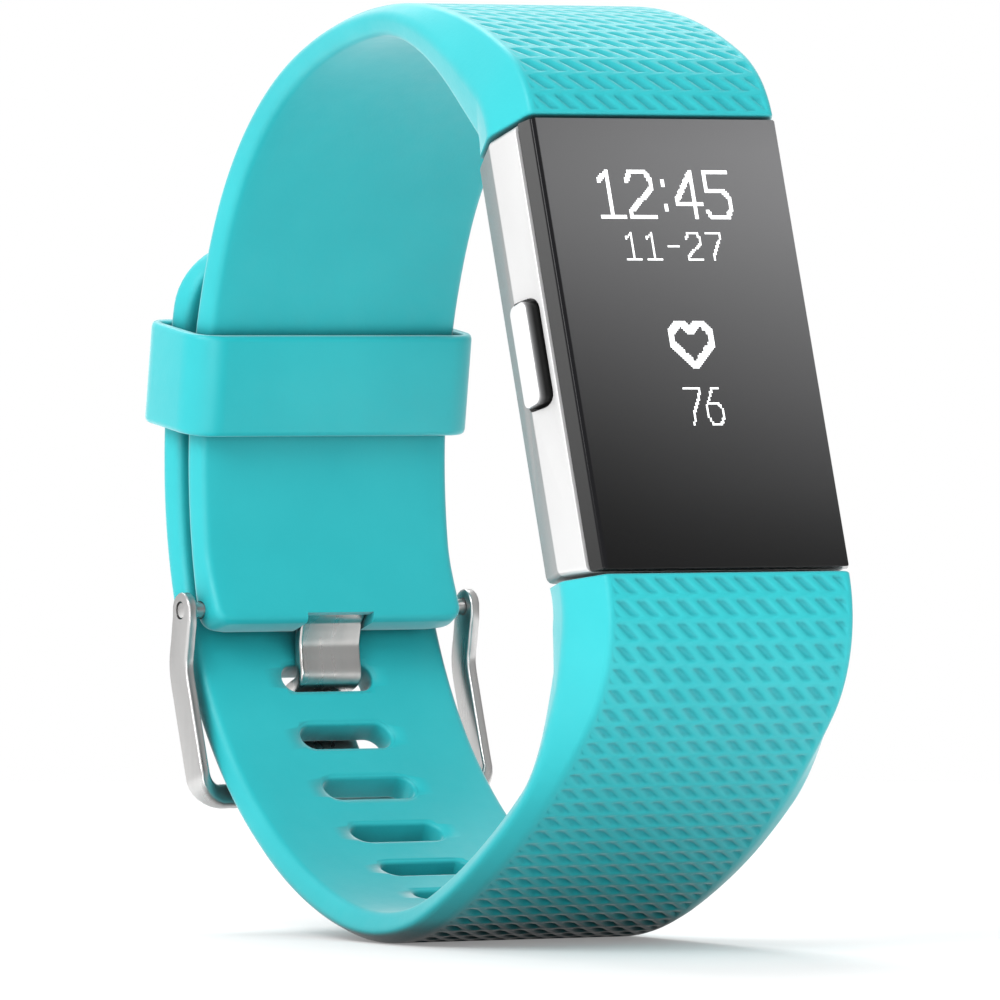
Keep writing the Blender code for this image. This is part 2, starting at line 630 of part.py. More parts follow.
def build_buckle_frame():
    pivot = empty("buckle_pivot", (0, *PIN_CENTRE))
    bar_s = crossbar_s()
    half = CROSSBAR_WIDTH / 2

    def beside(along, lift):
        return on_lower(bar_s + along, lift) - PIN_CENTRE

    kink = Vector(KINK)
    line = [Vector((0.0, 0.0)), kink * 0.75, kink, kink.lerp(beside(0, 0), 0.2)]
    line += [beside(half + 0.8, 0.1), beside(-half, CROSSBAR_LIFT)]
    legs = (("right", LEG_IN_X, LEG_OUT_X), ("left", -LEG_OUT_X, -LEG_IN_X))
    made = []
    for side, x0, x1 in legs:
        material = None if made else "steel"
        leg = ribbon("buckle_frame" if material else "left_leg", line, LEG_WIDTH, x0, x1, material, pivot)
        cut(leg, cylinder(side + "_eye", (x0, 0, 0), (x1, 0, 0), LEG_EYE_R, None, pivot), "UNION")
        made.append(leg)
    frame, left = made
    bar_line = [beside(along, CROSSBAR_LIFT) for along in (half, 0, -half)]
    bar_x = LEG_OUT_X - 0.02
    bar = ribbon("crossbar", bar_line, CROSSBAR_THICKNESS, -bar_x, bar_x, None, pivot)
    cut(frame, bar, "UNION")
    cut(frame, left, "UNION")
    notch_line = [beside(along, CROSSBAR_LIFT) for along in (half + 1.5, 0.1)]
    cut(frame, ribbon("tip_notch", notch_line, 3.0, -NOTCH_HALF, NOTCH_HALF, None, pivot))
    cut(frame, cylinder("frame_bores", (-15, 0, 0), (15, 0, 0), PIN_BORE_R, None, pivot, 24))


def build_tongue():
    """The tongue: an eye about the pin, a drop through the slot, and a tip that lies on the crossbar."""
    pivot = empty("tongue_pivot", (0, *PIN_CENTRE))
    lift = 0.3 + TONGUE_THICK / 2
    drop = [PIN_CENTRE + Vector(place) for place in TONGUE_DROP]
    inner = on_lower(SLOT_S - 0.15, -STRAP_DEPTH[1])
    outer = on_lower(SLOT_S - 0.05, lift - 1.0)
    bend = on_lower(SLOT_S - 0.55, lift)
    tip_s = crossbar_s() + 0.55
    lie = [on_lower(s, lift) for s in (SLOT_S - 2.5, SLOT_S - 4.5, tip_s)]
    line = [point - PIN_CENTRE for point in (*drop, inner, outer, bend, *lie)]
    tongue = ribbon("buckle_tongue", line, TONGUE_THICK, -TONGUE_HALF, TONGUE_HALF, "steel", pivot)
    eye = cylinder("tongue_eye", (-TONGUE_HALF, 0, 0), (TONGUE_HALF, 0, 0), TONGUE_EYE_R, None, pivot)
    cut(tongue, eye, "UNION")
    cut(tongue, cylinder("tongue_bore", (-6, 0, 0), (6, 0, 0), PIN_BORE_R, None, pivot, 24))


def keeper_section(grow, side_grow, corner):
    """The keeper's section across the band at its middle: (x, distance from the back centre)."""
    sagitta = (KEEPER_HEIGHT / 2) ** 2 / (2 * UPPER_BACK_R)
    inner_r = UPPER_BACK_R - STRAP_DEPTH[1] - sagitta - KEEPER_CLEARANCE - grow
    outer_r = LOWER_BACK_R + KEEPER_CLEARANCE + grow
    half_x = EDGE_HALF[1] + KEEPER_CLEARANCE + side_grow
    outline = rounded_rectangle(half_x, (outer_r - inner_r) / 2, corner, 0.0, steps=4)
    return [(x, r + (inner_r + outer_r) / 2) for x, r, _ in outline]


def keeper_prism(name, walls, corner, reach, material, parent):
    """A straight tube with that section, square to the back circle at the keeper's place."""
    angle = math.radians(KEEPER_ANGLE_DEG)
    out, along = heading_vector(angle), heading_vector(angle + math.pi / 2)
    rings = []
    for end in (-reach, reach):
        places = [(x, out * r + along * end) for x, r in keeper_section(*walls, corner)]
        rings.append([(x, place.x, place.y) for x, place in places])
    return loft(name, rings, material, parent)


def build_keeper():
    centre = empty("back_centre", (0, *BACK_CENTRE))
    half = KEEPER_HEIGHT / 2
    keeper = keeper_prism("keeper", (KEEPER_WALL, KEEPER_SIDE_WALL), KEEPER_CORNER_R, half, "silicone_smooth", centre)
    cut(keeper, keeper_prism("keeper_hole", (0.0, 0.0), 0.35, half + 1.0, None, centre))


def main():
    tracker = empty("tracker_origin", (0, FACE_Y, FACE_Z), TILT)
    build_case(tracker)
    build_glass(tracker)
    build_electronics(tracker)
    build_side_button(tracker)
    build_motor(tracker)
    build_rear(tracker)
    build_straps(tracker)
    build_pin()
    build_buckle_frame()
    build_tongue()
    build_keeper()


main()
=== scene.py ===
"""Looks of the fitness tracker band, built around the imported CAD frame.

Lengths are millimetres times MM. +X runs across the band, -Y is the side the display faces, +Z is up.
"""
import json
import math

import bmesh
import bpy
import numpy as np
from mathutils import Matrix, Vector


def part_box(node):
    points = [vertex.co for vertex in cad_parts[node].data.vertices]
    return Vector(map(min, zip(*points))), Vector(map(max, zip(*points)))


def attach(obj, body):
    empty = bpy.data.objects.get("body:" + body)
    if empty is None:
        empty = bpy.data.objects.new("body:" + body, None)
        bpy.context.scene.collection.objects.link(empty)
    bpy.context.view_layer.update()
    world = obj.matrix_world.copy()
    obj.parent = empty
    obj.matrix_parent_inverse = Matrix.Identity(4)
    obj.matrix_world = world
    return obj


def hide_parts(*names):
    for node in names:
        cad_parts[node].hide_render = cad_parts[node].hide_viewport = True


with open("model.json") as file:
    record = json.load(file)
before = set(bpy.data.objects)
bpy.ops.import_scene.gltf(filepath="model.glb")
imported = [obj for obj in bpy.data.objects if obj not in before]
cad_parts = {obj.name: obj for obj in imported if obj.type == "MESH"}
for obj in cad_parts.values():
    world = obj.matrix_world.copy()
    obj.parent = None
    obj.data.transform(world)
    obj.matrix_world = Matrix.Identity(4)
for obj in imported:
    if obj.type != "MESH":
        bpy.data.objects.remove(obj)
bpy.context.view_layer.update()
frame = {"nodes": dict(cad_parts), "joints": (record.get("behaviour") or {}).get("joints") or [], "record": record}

MM = 0.001
RECORD = frame["record"]
JOINTS = {joint["name"]: joint for joint in frame["joints"]}
MOUNTS = {mount["name"]: mount for mount in RECORD["mounts"]}
BODY_OF = {node: body for body, nodes in RECORD["behaviour"]["bodies"].items() for node in nodes}
SLOT_OF = {part["node"]: part["material_slot"] for part in RECORD["subparts"]}

# Tracker frame: origin at the middle of the glass face, x across, y up the band, z out of the face
FACE = Vector(MOUNTS["display_face"]["pos_m"]) / MM
OUT = Vector(MOUNTS["display_face"]["axis"]).normalized()
TILT = math.atan2(-OUT.y, OUT.z)
UP = Vector((0.0, math.cos(TILT), math.sin(TILT)))
TRACKER = Matrix.Translation(FACE) @ Matrix.Rotation(TILT, 4, "X")
GLASS_HALF_X, GLASS_HALF_Y, GLASS_EDGE, GLASS_STEP, GLASS_CORNER = 9.25, 15.4, 0.09, 0.02, 0.16
# Half width, half length and depth of the glass at the foot and at the top of its sloping side
GLASS_FOOT, GLASS_SHOULDER = (9.8, 15.3, -0.95), (9.32, 15.38, -0.1)

# Side button, in the tracker frame
BUTTON_LENGTH, BUTTON_HEIGHT, BUTTON_CORNER, BUTTON_Z = 7.0, 2.1, 0.6, -2.85
BUTTON_OUT_X, BUTTON_IN_X, BUTTON_EDGE, BUTTON_IN_EDGE = -10.98, -9.78, 0.16, 0.08
BUTTON_CROWN = ((0.01, 0.3), (0.015, 0.5))  # rise past the rim, and inset
STEM_R, STEM_Z, STEM_MID_X, STEM_HALF = 0.5, -3.4, -9.3, 0.85
# Pockets for the metal end fittings: half width, far end along the band, low and high
POCKETS, POCKET_NEAR_Y = ((6.65, 18.2, -4.78, -2.5), (3.2, 18.55, -9.5, -4.7)), 13.5

# Strap paths and section: the CAD's driving sizes
END_GAP = 0.3
UPPER_ARCS = ((5.7, 45.5), (27.7, 50.0), (17.1, 41.2), (29.13, 43.05))
LOWER_ARCS = ((10.45, 59.83), (23.76, 24.79), (12.99, 35.44), (13.28, 23.13))
BACK_GAP, TIP_RISE_DEG = 1.4, 21.2
FLAT_HALF, EDGE_HALF, INNER_HALF = (9.25, 8.85), (10.72, 10.1), (9.7, 9.6)
EDGE_DEPTH, STRAP_DEPTH = (3.45, 0.65), (6.7, 2.1)
UPPER_TAPER, LOWER_TAPER = (2.0, 23.0), (5.0, 19.5)
UPPER_NARROWING, LOWER_NARROWING = (0.0, 23.0), (26.0, 60.0)
BUCKLE_END_SWELL, SWELL_LENGTH, BUCKLE_END_CORNER, TIP_CORNER = 0.75, 6.0, 1.2, 4.5
END_TILT_DEG, LEAN_LENGTH = 8.5, 9.0
SLOT_LENGTH, SLOT_WIDTH, SLOT_PITCH, SLOT_REACH = 7.0, 2.0, 5.1, 4.7
SLOTS_TO_TIP, SLOTS_TO_TRACKER, SLOT_FILLET = 2, 5, 0.28
SLOT_FLARE_LIFT, SLOT_FLARE_GROW = 1.0, 0.6
EDGE_FILLET, START_ROUNDING, END_ROUNDING = 0.55, 0.15, 0.55
END_STEPS, INNER_COLUMNS = 12, 12
CUT_PAST = 1.0  # the least that a cutter runs past the face it opens
PAST_SIDES = 14  # half length of a cutter that runs out of both sides of the band

# Moulded pits of the outer face: unstaggered rows of slanted parallelograms
PITCH, PIT_DEPTH, PIT_SLANT = 1.5, 0.2, 0.6
PIT_PHASE_X, PIT_START = -0.3, 0.85
PIT_COLUMNS = ((-0.46, 0), (-0.22, 1), (0.0, 1), (0.22, 1), (0.46, 0), (0.75, 0))
PIT_ROWS = ((-0.57, 0, -1.0), (-0.4, 1, -0.7), (0.0, 1, 0.0), (0.4, 1, 0.7), (0.57, 0, 1.0), (0.75, 0, 0.0))
ROW_MARGIN, COLUMN_MARGIN = 0.05, 0.25
BORDER, SQUEEZE = 0.3, 0.4
# How far the pits keep from the sides, the tracker, the tip and the slots, and the length they fade over
SIDE_FADE, TRACKER_FADE, TIP_FADE, SLOT_FADE = (0.1, 0.35), (0.3, 0.1), (5.2, 0.3), (0.45, 0.3)

# Buckle
PIN = Vector(JOINTS["buckle_frame_swing"]["pos_m"]) / MM
PIN_BORE_R, PIN_FROM_END, PIN_DEPTH, PIN_EDGE = 0.62, 1.48, 1.0, 0.12
NOTCH_R, NOTCH_HALF, NOTCH_LIP = 1.38, 2.6, 0.8
LEG_MID_X, LEG_HALF, LEG_EYE_R, LEG_EYE_THINNING = 11.125, (0.375, 1.2), 1.22, 0.12
LEG_CORNER, BAR_ROUNDING = 1.4, 0.6
KINK = (0.5, -4.2)
LEG_FOOT = (1.8, 0.1)  # along the strap from the crossbar, and above its outer face
CROSSBAR_FROM_PIN, CROSSBAR_GAP, CROSSBAR_THICKNESS, CROSSBAR_HALF = 12.9, 0.3, 1.1, 0.8
# The crossbar's notch for the tongue's tip: along the strap and above its outer face
TIP_NOTCH_ALONG, TIP_NOTCH_LIFT = (0.1, 2.5), (-0.3, 3)
TONGUE_HALF, TONGUE_THICK, TONGUE_CORNER, TONGUE_TIP_INSET = 2.4, 0.9, 0.24, 0.2
TONGUE_EYE_R, TONGUE_EYE_EDGE = 1.25, 0.2
# The tongue's middle line: from the pin in Y and Z, then back along the strap from the slot
TONGUE_DROP = ((-0.35, -0.8), (-0.15, -1.6), (0.0, -2.5), (-0.1, -3.45))
TONGUE_ENTRY, TONGUE_EXIT, TONGUE_EXIT_DEPTH = 0.15, 0.05, 1.0
TONGUE_RUN, TONGUE_OVERLAP = (0.55, 2.5, 4.5), 0.55

# Keeper
BACK_CENTRE = Vector(JOINTS["keeper_slide"]["pos_m"]) / MM
KEEPER_HEIGHT, KEEPER_CLEARANCE, KEEPER_ANGLE_DEG = 6.95, 0.2, 8.5
KEEPER_WALL, KEEPER_SIDE_WALL, KEEPER_RIM = 1.3, 0.95, 0.42
KEEPER_INNER_CORNER, KEEPER_CORNER = 0.45, 2.5


# ---- mesh helpers
def add_object(name, data):
    """A new object in the scene."""
    obj = bpy.data.objects.new(name, data)
    bpy.context.scene.collection.objects.link(obj)
    return obj


def new_object(name, points, faces):
    """An object from points in millimetres, with its faces turned outwards."""
    mesh = bpy.data.meshes.new(name)
    mesh.from_pydata([tuple(p) for p in np.asarray(points, float) * MM], [], faces)
    bm = bmesh.new()
    bm.from_mesh(mesh)
    bmesh.ops.recalc_face_normals(bm, faces=bm.faces)
    bm.to_mesh(mesh)
    bm.free()
    return add_object(name, mesh)


def loft(name, rings, closed=False):
    """A surface through rings of equal point count: capped at both ends, or closed on itself."""
    rings = np.asarray(rings, float)
    rows, count = rings.shape[:2]
    faces = []
    for i in range(rows if closed else rows - 1):
        first, second = i * count, ((i + 1) % rows) * count
        for j in range(count):
            k = (j + 1) % count
            faces.append((first + j, first + k, second + k, second + j))
    if not closed:
        faces.append(tuple(range(count)))
        faces.append(tuple(reversed(range((rows - 1) * count, rows * count))))
    return new_object(name, rings.reshape(-1, 3), faces)


def smooth(obj, degrees):
    """Smooth shading that keeps edges sharper than the angle."""
    obj.data.shade_smooth()
    obj.data.set_sharp_from_angle(angle=math.radians(degrees))


def apply_modifiers(obj):
    graph = bpy.context.evaluated_depsgraph_get()
    mesh = bpy.data.meshes.new_from_object(obj.evaluated_get(graph))
    obj.modifiers.clear()
    obj.data = mesh


def merged(name, objects):
    """One object with the meshes of several, which are removed."""
    bm = bmesh.new()
    for obj in objects:
        bm.from_mesh(obj.data)
        bpy.data.objects.remove(obj, do_unlink=True)
    mesh = bpy.data.meshes.new(name)
    bm.to_mesh(mesh)
    bm.free()
    return add_object(name, mesh)


def cut(obj, cutter, operation="DIFFERENCE"):
    modifier = obj.modifiers.new("cut", "BOOLEAN")
    modifier.object = cutter
    modifier.operation = operation
    apply_modifiers(obj)
    bpy.data.objects.remove(cutter, do_unlink=True)


def bevel(obj, width):
    modifier = obj.modifiers.new("bevel", "BEVEL")
    modifier.width = width * MM
    modifier.segments = 3
    modifier.angle_limit = math.radians(30)
    apply_modifiers(obj)


def rounded_rectangle(half_x, half_y, radius, steps):
    """Points anticlockwise from the right-hand side, with steps + 1 on each corner's arc."""
    points = []
    for quarter, (sx, sy) in enumerate(((1, 1), (-1, 1), (-1, -1), (1, -1))):
        for step in range(steps + 1):
            angle = math.radians(90 * quarter + 90 * step / steps)
            x = sx * (half_x - radius) + radius * math.cos(angle)
            points.append((x, sy * (half_y - radius) + radius * math.sin(angle)))
    return points


def smoothstep(t):
    """0 up to t = 0, 1 from t = 1, and an even blend between."""
    t = np.clip(t, 0.0, 1.0)
    return t * t * (3 - 2 * t)


def curve_through(points, steps):
    """Catmull-Rom points through the given ones."""
    points = [Vector(p) for p in points]
    ends = [points[0] * 2 - points[1], *points, points[-1] * 2 - points[-2]]
    out = []
    for a, b, c, d in zip(ends, ends[1:], ends[2:], ends[3:]):
        for step in range(steps):
            t = step / steps
            straight = 2 * b + (c - a) * t
            bent = (2 * a - 5 * b + 4 * c - d) * t**2 + (3 * b - a - 3 * c + d) * t**3
            out.append(0.5 * (straight + bent))
    return [*out, points[-1]]


# ---- strap paths
class StrapPath:
    """A chain of arcs along a strap's outer face, in the YZ plane.

    side is -1 where the wrist lies to the right of the heading and 1 where it lies to the left.
    """

    def __init__(self, start, heading, side, taper, narrowing, swell=0.0):
        self.arcs = []
        self.end = (start.y, start.z, heading)
        self.length = 0.0
        self.side, self.taper, self.narrowing, self.swell = side, taper, narrowing, swell

    def arc(self, length, turn):
        self.arcs.append((self.length, *self.end, self.side * turn / length))
        self.length += length
        self.end = tuple(float(v) for v in self.at(self.length))

    def at(self, s):
        """y, z and heading at arc length s, a number or an array."""
        s = np.asarray(s, float)
        y, z, heading = np.zeros((3, *s.shape))
        for start, y0, z0, heading0, bend in self.arcs:
            mine = (s >= start) | (start == 0.0)
            turned = heading0 + bend * (s - start)
            y = np.where(mine, y0 + (np.sin(turned) - math.sin(heading0)) / bend, y)
            z = np.where(mine, z0 - (np.cos(turned) - math.cos(heading0)) / bend, z)
            heading = np.where(mine, turned, heading)
        return y, z, heading

    def place(self, s, outward=0.0):
        """Point on the path as a vector with X = 0, lifted outward from the outer face."""
        y, z, heading = self.at(s)
        lift = -outward * self.side
        return Vector((0.0, float(y - np.sin(heading) * lift), float(z + np.cos(heading) * lift)))

    def section(self, s):
        """Half widths of the flat, the edge and the inner face, and the depths of the last two."""
        full_until, thin_from = self.taper
        wide_until, narrow_from = self.narrowing
        narrow = np.clip((narrow_from - s) / (narrow_from - wide_until), 0.0, 1.0)
        thin = 1.0 - smoothstep((s - full_until) / (thin_from - full_until))
        sizes = [end + (start - end) * narrow for start, end in (FLAT_HALF, EDGE_HALF, INNER_HALF)]
        edge = EDGE_DEPTH[1] + (EDGE_DEPTH[0] - EDGE_DEPTH[1]) * thin
        depth = STRAP_DEPTH[1] + (STRAP_DEPTH[0] - STRAP_DEPTH[1]) * thin
        depth = depth + self.swell * smoothstep(1.0 - (self.length - s) / SWELL_LENGTH)
        return (*sizes, edge, depth)


def make_paths():
    """The upper and lower strap, and their radii where they run round the keeper's centre."""
    start = FACE + UP * (GLASS_HALF_Y + END_GAP)
    upper = StrapPath(start, TILT, -1, UPPER_TAPER, UPPER_NARROWING, BUCKLE_END_SWELL)
    for length, turn in UPPER_ARCS:
        upper.arc(length, math.radians(turn))
    upper_radius = UPPER_ARCS[-1][0] / math.radians(UPPER_ARCS[-1][1])
    radius = upper_radius + BACK_GAP + STRAP_DEPTH[1]
    start = FACE - UP * (GLASS_HALF_Y + END_GAP)
    lower = StrapPath(start, TILT - math.pi, 1, LOWER_TAPER, LOWER_NARROWING)
    for length, turn in LOWER_ARCS:
        lower.arc(length, math.radians(turn))
    y, z, heading = lower.end
    inward = Vector((0.0, -math.sin(heading), math.cos(heading)))
    offset = Vector((0.0, y, z)) - BACK_CENTRE
    blend = (radius**2 - offset.dot(offset)) / (2 * (offset.dot(inward) + radius))
    to_touch = offset + inward * blend
    touch_heading = math.atan2(to_touch.z, to_touch.y) + math.pi / 2
    turn = (touch_heading - heading) % (2 * math.pi)
    lower.arc(blend * turn, turn)
    turn = (math.radians(TIP_RISE_DEG + 90) - lower.end[2]) % (2 * math.pi)
    lower.arc(radius * turn, turn)
    return upper, lower, upper_radius, radius


UPPER, LOWER, UPPER_BACK_R, LOWER_BACK_R = make_paths()


def nearest(candidates, lift, distance):
    """The arc length on the lower strap whose point at this lift is this far from the pin."""
    return min(candidates, key=lambda s: abs((LOWER.place(s, lift) - PIN).length - distance))


BACK_STRETCH = [LOWER.length - 50 + 0.1 * i for i in range(280)]
BELOW_PIN = [s for s in BACK_STRETCH if LOWER.place(s).z < PIN.z]
SLOT_S = nearest(BELOW_PIN, -STRAP_DEPTH[1], SLOT_REACH)
CROSSBAR_LIFT = CROSSBAR_GAP + CROSSBAR_THICKNESS / 2
CROSSBAR_S = nearest([SLOT_S - 0.05 * i for i in range(100, 300)], CROSSBAR_LIFT, CROSSBAR_FROM_PIN)


# ---- straps
def pit_stations(low, high, phase, pattern):
    """Feature lines of the pit pattern between low and high: position, in-pit flag and slant."""
    rows = []
    for k in range(math.floor((low - phase) / PITCH) - 1, math.ceil((high - phase) / PITCH) + 1):
        for offset, *rest in pattern:
            rows.append((phase + PITCH * k + offset, *rest))
    rows = [row for row in rows if low < row[0] < high]
    return np.array(rows)


def strap_rows(path, corner):
    """Stations along the strap: s, in-pit flag, slant, plan inset and end rounding."""
    round_r, start_r = END_ROUNDING, START_ROUNDING
    pits = pit_stations(start_r + ROW_MARGIN, path.length - corner - ROW_MARGIN, PIT_START, PIT_ROWS)
    rows = [(0.0, 0, 0, start_r, start_r), (start_r * 0.3, 0, 0, start_r * 0.4, start_r * 0.4)]
    rows.append((start_r, 0, 0, 0.0, 0.0))
    rows += [(s, flag, slant, 0.0, 0.0) for s, flag, slant in pits]
    for step in range(END_STEPS + 1):
        angle = math.radians(90 * step / END_STEPS)
        s = path.length - corner * (1 - math.sin(angle))
        past = max(0.0, s - (path.length - round_r))
        rounding = round_r - math.sqrt(max(0.0, round_r**2 - past**2))
        rows.append((s, 0, 0, corner * (1 - math.cos(angle)), min(rounding, round_r * 0.9)))
    return np.array(rows).T


def slot_positions():
    """Arc lengths of all the slots' centres."""
    return [SLOT_S + index * SLOT_PITCH for index in range(-SLOTS_TO_TRACKER, SLOTS_TO_TIP + 1)]


def pit_mask(path, x, s, limit, slots):
    """1 where pits are cut to full depth: fades at the borders, the ends and round the slots."""
    mask = smoothstep((limit - SIDE_FADE[0] - np.abs(x)) / SIDE_FADE[1])
    mask = mask * smoothstep((s - TRACKER_FADE[0]) / TRACKER_FADE[1])
    mask = mask * smoothstep((path.length - TIP_FADE[0] - s) / TIP_FADE[1])
    for centre in slots:
        across = np.maximum(np.abs(x) - (SLOT_LENGTH - SLOT_WIDTH) / 2, 0.0)
        beyond = np.hypot(across, s - centre) - SLOT_WIDTH / 2
        mask = mask * smoothstep((beyond - SLOT_FADE[0]) / SLOT_FADE[1])
    return mask


def fillet(corner, before, after, radius, steps):
    """Points of a rounded corner as a quadratic curve, for arrays of section points."""
    most = 0.45  # share of a side that one corner may take
    to_before, to_after = before - corner, after - corner
    reach_b = np.linalg.norm(to_before, axis=1)[:, None]
    reach_a = np.linalg.norm(to_after, axis=1)[:, None]
    start = corner + to_before / reach_b * np.minimum(radius, reach_b * most)
    end = corner + to_after / reach_a * np.minimum(radius, reach_a * most)
    out = []
    for t in np.linspace(0, 1, steps):
        out.append(start * (1 - t) ** 2 + corner * 2 * t * (1 - t) + end * t**2)
    return out


def strap_surface(name, path, corner, slots):
    """The strap as one closed skin: pitted outer face, rounded edges, smooth inner face."""
    s, in_row, slant, inset, rounding = strap_rows(path, corner)
    flat, edge, inner, edge_depth, depth = path.section(s)
    reach = FLAT_HALF[0] + COLUMN_MARGIN
    columns = pit_stations(-reach, reach, PIT_PHASE_X, PIT_COLUMNS)
    limit = (flat - BORDER)[:, None]
    x = columns[None, :, 0] + path.side * PIT_SLANT * slant[:, None]
    over = np.maximum(np.abs(x) - (limit - SQUEEZE), 0.0)
    squeezed = limit - SQUEEZE * np.exp(-over / SQUEEZE)
    x = np.where(over > 0, np.sign(x) * squeezed, x)
    pit = columns[None, :, 1] * in_row[:, None] * pit_mask(path, x, s[:, None], limit, slots)
    x = x * (limit - inset[:, None]) / limit
    outer = np.stack([x, PIT_DEPTH * pit], axis=2)

    zero = np.zeros_like(s)
    flat_end = np.stack([flat - inset, zero], axis=1)
    widest = np.stack([edge - inset, edge_depth], axis=1)
    inner_end = np.stack([inner - inset, depth], axis=1)
    side = fillet(flat_end, np.stack([zero, zero], axis=1), widest, BORDER, 4)
    side += fillet(widest, flat_end, inner_end, EDGE_FILLET, 5)
    side += fillet(inner_end, widest, np.stack([zero, depth], axis=1), EDGE_FILLET, 5)
    side = np.stack(side, axis=1)
    inner_x = side[:, -1, :1] * np.linspace(1, -1, INNER_COLUMNS + 2)[None, 1:-1]
    inside = np.stack([inner_x, np.broadcast_to(depth[:, None], inner_x.shape)], axis=2)
    mirrored = side[:, ::-1] * np.array([-1.0, 1.0])
    ring = np.concatenate([outer, side, inside, mirrored], axis=1)
    ring_pit = np.zeros(ring.shape[:2])
    ring_pit[:, : pit.shape[1]] = pit

    down = rounding[:, None] + ring[:, :, 1] * (1 - 2 * rounding / depth)[:, None]
    y, z, heading = path.at(s)
    lean = np.radians(END_TILT_DEG) * np.clip(1 - s / LEAN_LENGTH, 0, 1)
    down_y = -np.sin(heading) * path.side * np.cos(lean) - np.cos(heading) * np.sin(lean)
    down_z = np.cos(heading) * path.side * np.cos(lean) - np.sin(heading) * np.sin(lean)
    ring_y = y[:, None] + down_y[:, None] * down
    ring_z = z[:, None] + down_z[:, None] * down
    strap = loft(name, np.stack([ring[:, :, 0], ring_y, ring_z], axis=2))
    attribute = strap.data.attributes.new("pit", "FLOAT", "POINT")
    attribute.data.foreach_set("value", ring_pit.reshape(-1).astype(np.float32))
    return strap


def slot_cutter(name, s):
    """A stadium-shaped cutter through the lower strap, flared where it meets both faces."""
    levels = [(SLOT_FLARE_LIFT, SLOT_FILLET + SLOT_FLARE_GROW)]
    for share in (0.0, 0.1, 0.3, 0.6, 1.0):
        grow = 1 - math.sqrt(1 - (1 - share) ** 2)
        levels.append((-SLOT_FILLET * share, SLOT_FILLET * grow))
    levels += [(-STRAP_DEPTH[1] - lift, grow) for lift, grow in reversed(levels)]
    y, z, heading = (float(v) for v in LOWER.at(s))
    along = Vector((0, math.cos(heading), math.sin(heading)))
    out = Vector((0, math.sin(heading), -math.cos(heading)))
    turns = 32
    rings = []
    for lift, grow in levels:
        radius = SLOT_WIDTH / 2 + grow
        ring = []
        for turn in range(turns):
            angle = math.radians(-90 + 360 * (turn + 0.5) / turns)
            side = 1 if math.cos(angle) > 0 else -1
            across = side * (SLOT_LENGTH - SLOT_WIDTH) / 2 + radius * math.cos(angle)
            ring.append(Vector((across, y, z)) + along * radius * math.sin(angle) + out * lift)
        rings.append(ring)
    return loft(name, rings)


def tracker_box(name, low, high):
    """A box between two corners in the tracker frame."""
    low, high = Vector(low), Vector(high)
    rings = []
    for z in (low.z, high.z):
        ring = ((low.x, low.y), (high.x, low.y), (high.x, high.y), (low.x, high.y))
        rings.append([TRACKER @ Vector((x, y, z)) for x, y in ring])
    return loft(name, rings)


def cut_fitting_pockets(strap, sign):
    """Room for the end fitting; sign is 1 on the strap above the tracker and -1 below."""
    for half_x, far, low, high in POCKETS:
        near_y, far_y = sorted((sign * POCKET_NEAR_Y, sign * far))
        cut(strap, tracker_box("pocket", (-half_x, near_y, low), (half_x, far_y, high)))


def cut_pin_seat(strap):
    """The pin's bore and the notch in which the tongue's eye turns."""
    heading = UPPER.end[2]
    along = Vector((0, math.cos(heading), math.sin(heading)))
    inward = Vector((0, math.sin(heading), -math.cos(heading)))

    def extruded(name, outline, half):
        rings = []
        for x in (-half, half):
            rings.append([PIN + along * a + inward * b + Vector((x, 0, 0)) for a, b in outline])
        return loft(name, rings)

    circle = [math.radians(9 * i) for i in range(40)]
    bore = [(PIN_BORE_R * math.cos(a), PIN_BORE_R * math.sin(a)) for a in circle]
    cut(strap, extruded("bore", bore, PAST_SIDES))
    far, open_out = PIN_FROM_END + 2 * CUT_PAST, -PIN_DEPTH - CUT_PAST
    open_in = STRAP_DEPTH[1] + 2 * CUT_PAST
    outline = [(far, open_out), (-NOTCH_R, open_out)]
    lip_angle = math.degrees(math.acos(NOTCH_LIP / NOTCH_R))
    steps = 12
    for step in range(steps + 1):
        angle = math.radians(180 - (180 - lip_angle) * step / steps)
        outline.append((NOTCH_R * math.cos(angle), NOTCH_R * math.sin(angle)))
    outline += [(NOTCH_LIP, open_in), (far, open_in)]
    cut(strap, extruded("notch", outline, NOTCH_HALF))


def finish_piece(obj, node, material, angle=40):
    """Shades the piece and lets it stand in for a CAD node, on that node's body."""
    smooth(obj, angle)
    obj.data.materials.clear()
    obj.data.materials.append(material)
    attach(obj, BODY_OF[node])
    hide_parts(node)


def build_straps(material):
    upper = strap_surface("buckle_strap_skin", UPPER, BUCKLE_END_CORNER, ())
    cut_fitting_pockets(upper, 1)
    cut_pin_seat(upper)
    finish_piece(upper, "buckle_strap", material, 60)
    lower = strap_surface("holed_strap_skin", LOWER, TIP_CORNER, slot_positions())
    cut(lower, merged("slots", [slot_cutter("slot", s) for s in slot_positions()]))
    cut_fitting_pockets(lower, -1)
    finish_piece(lower, "holed_strap", material, 60)


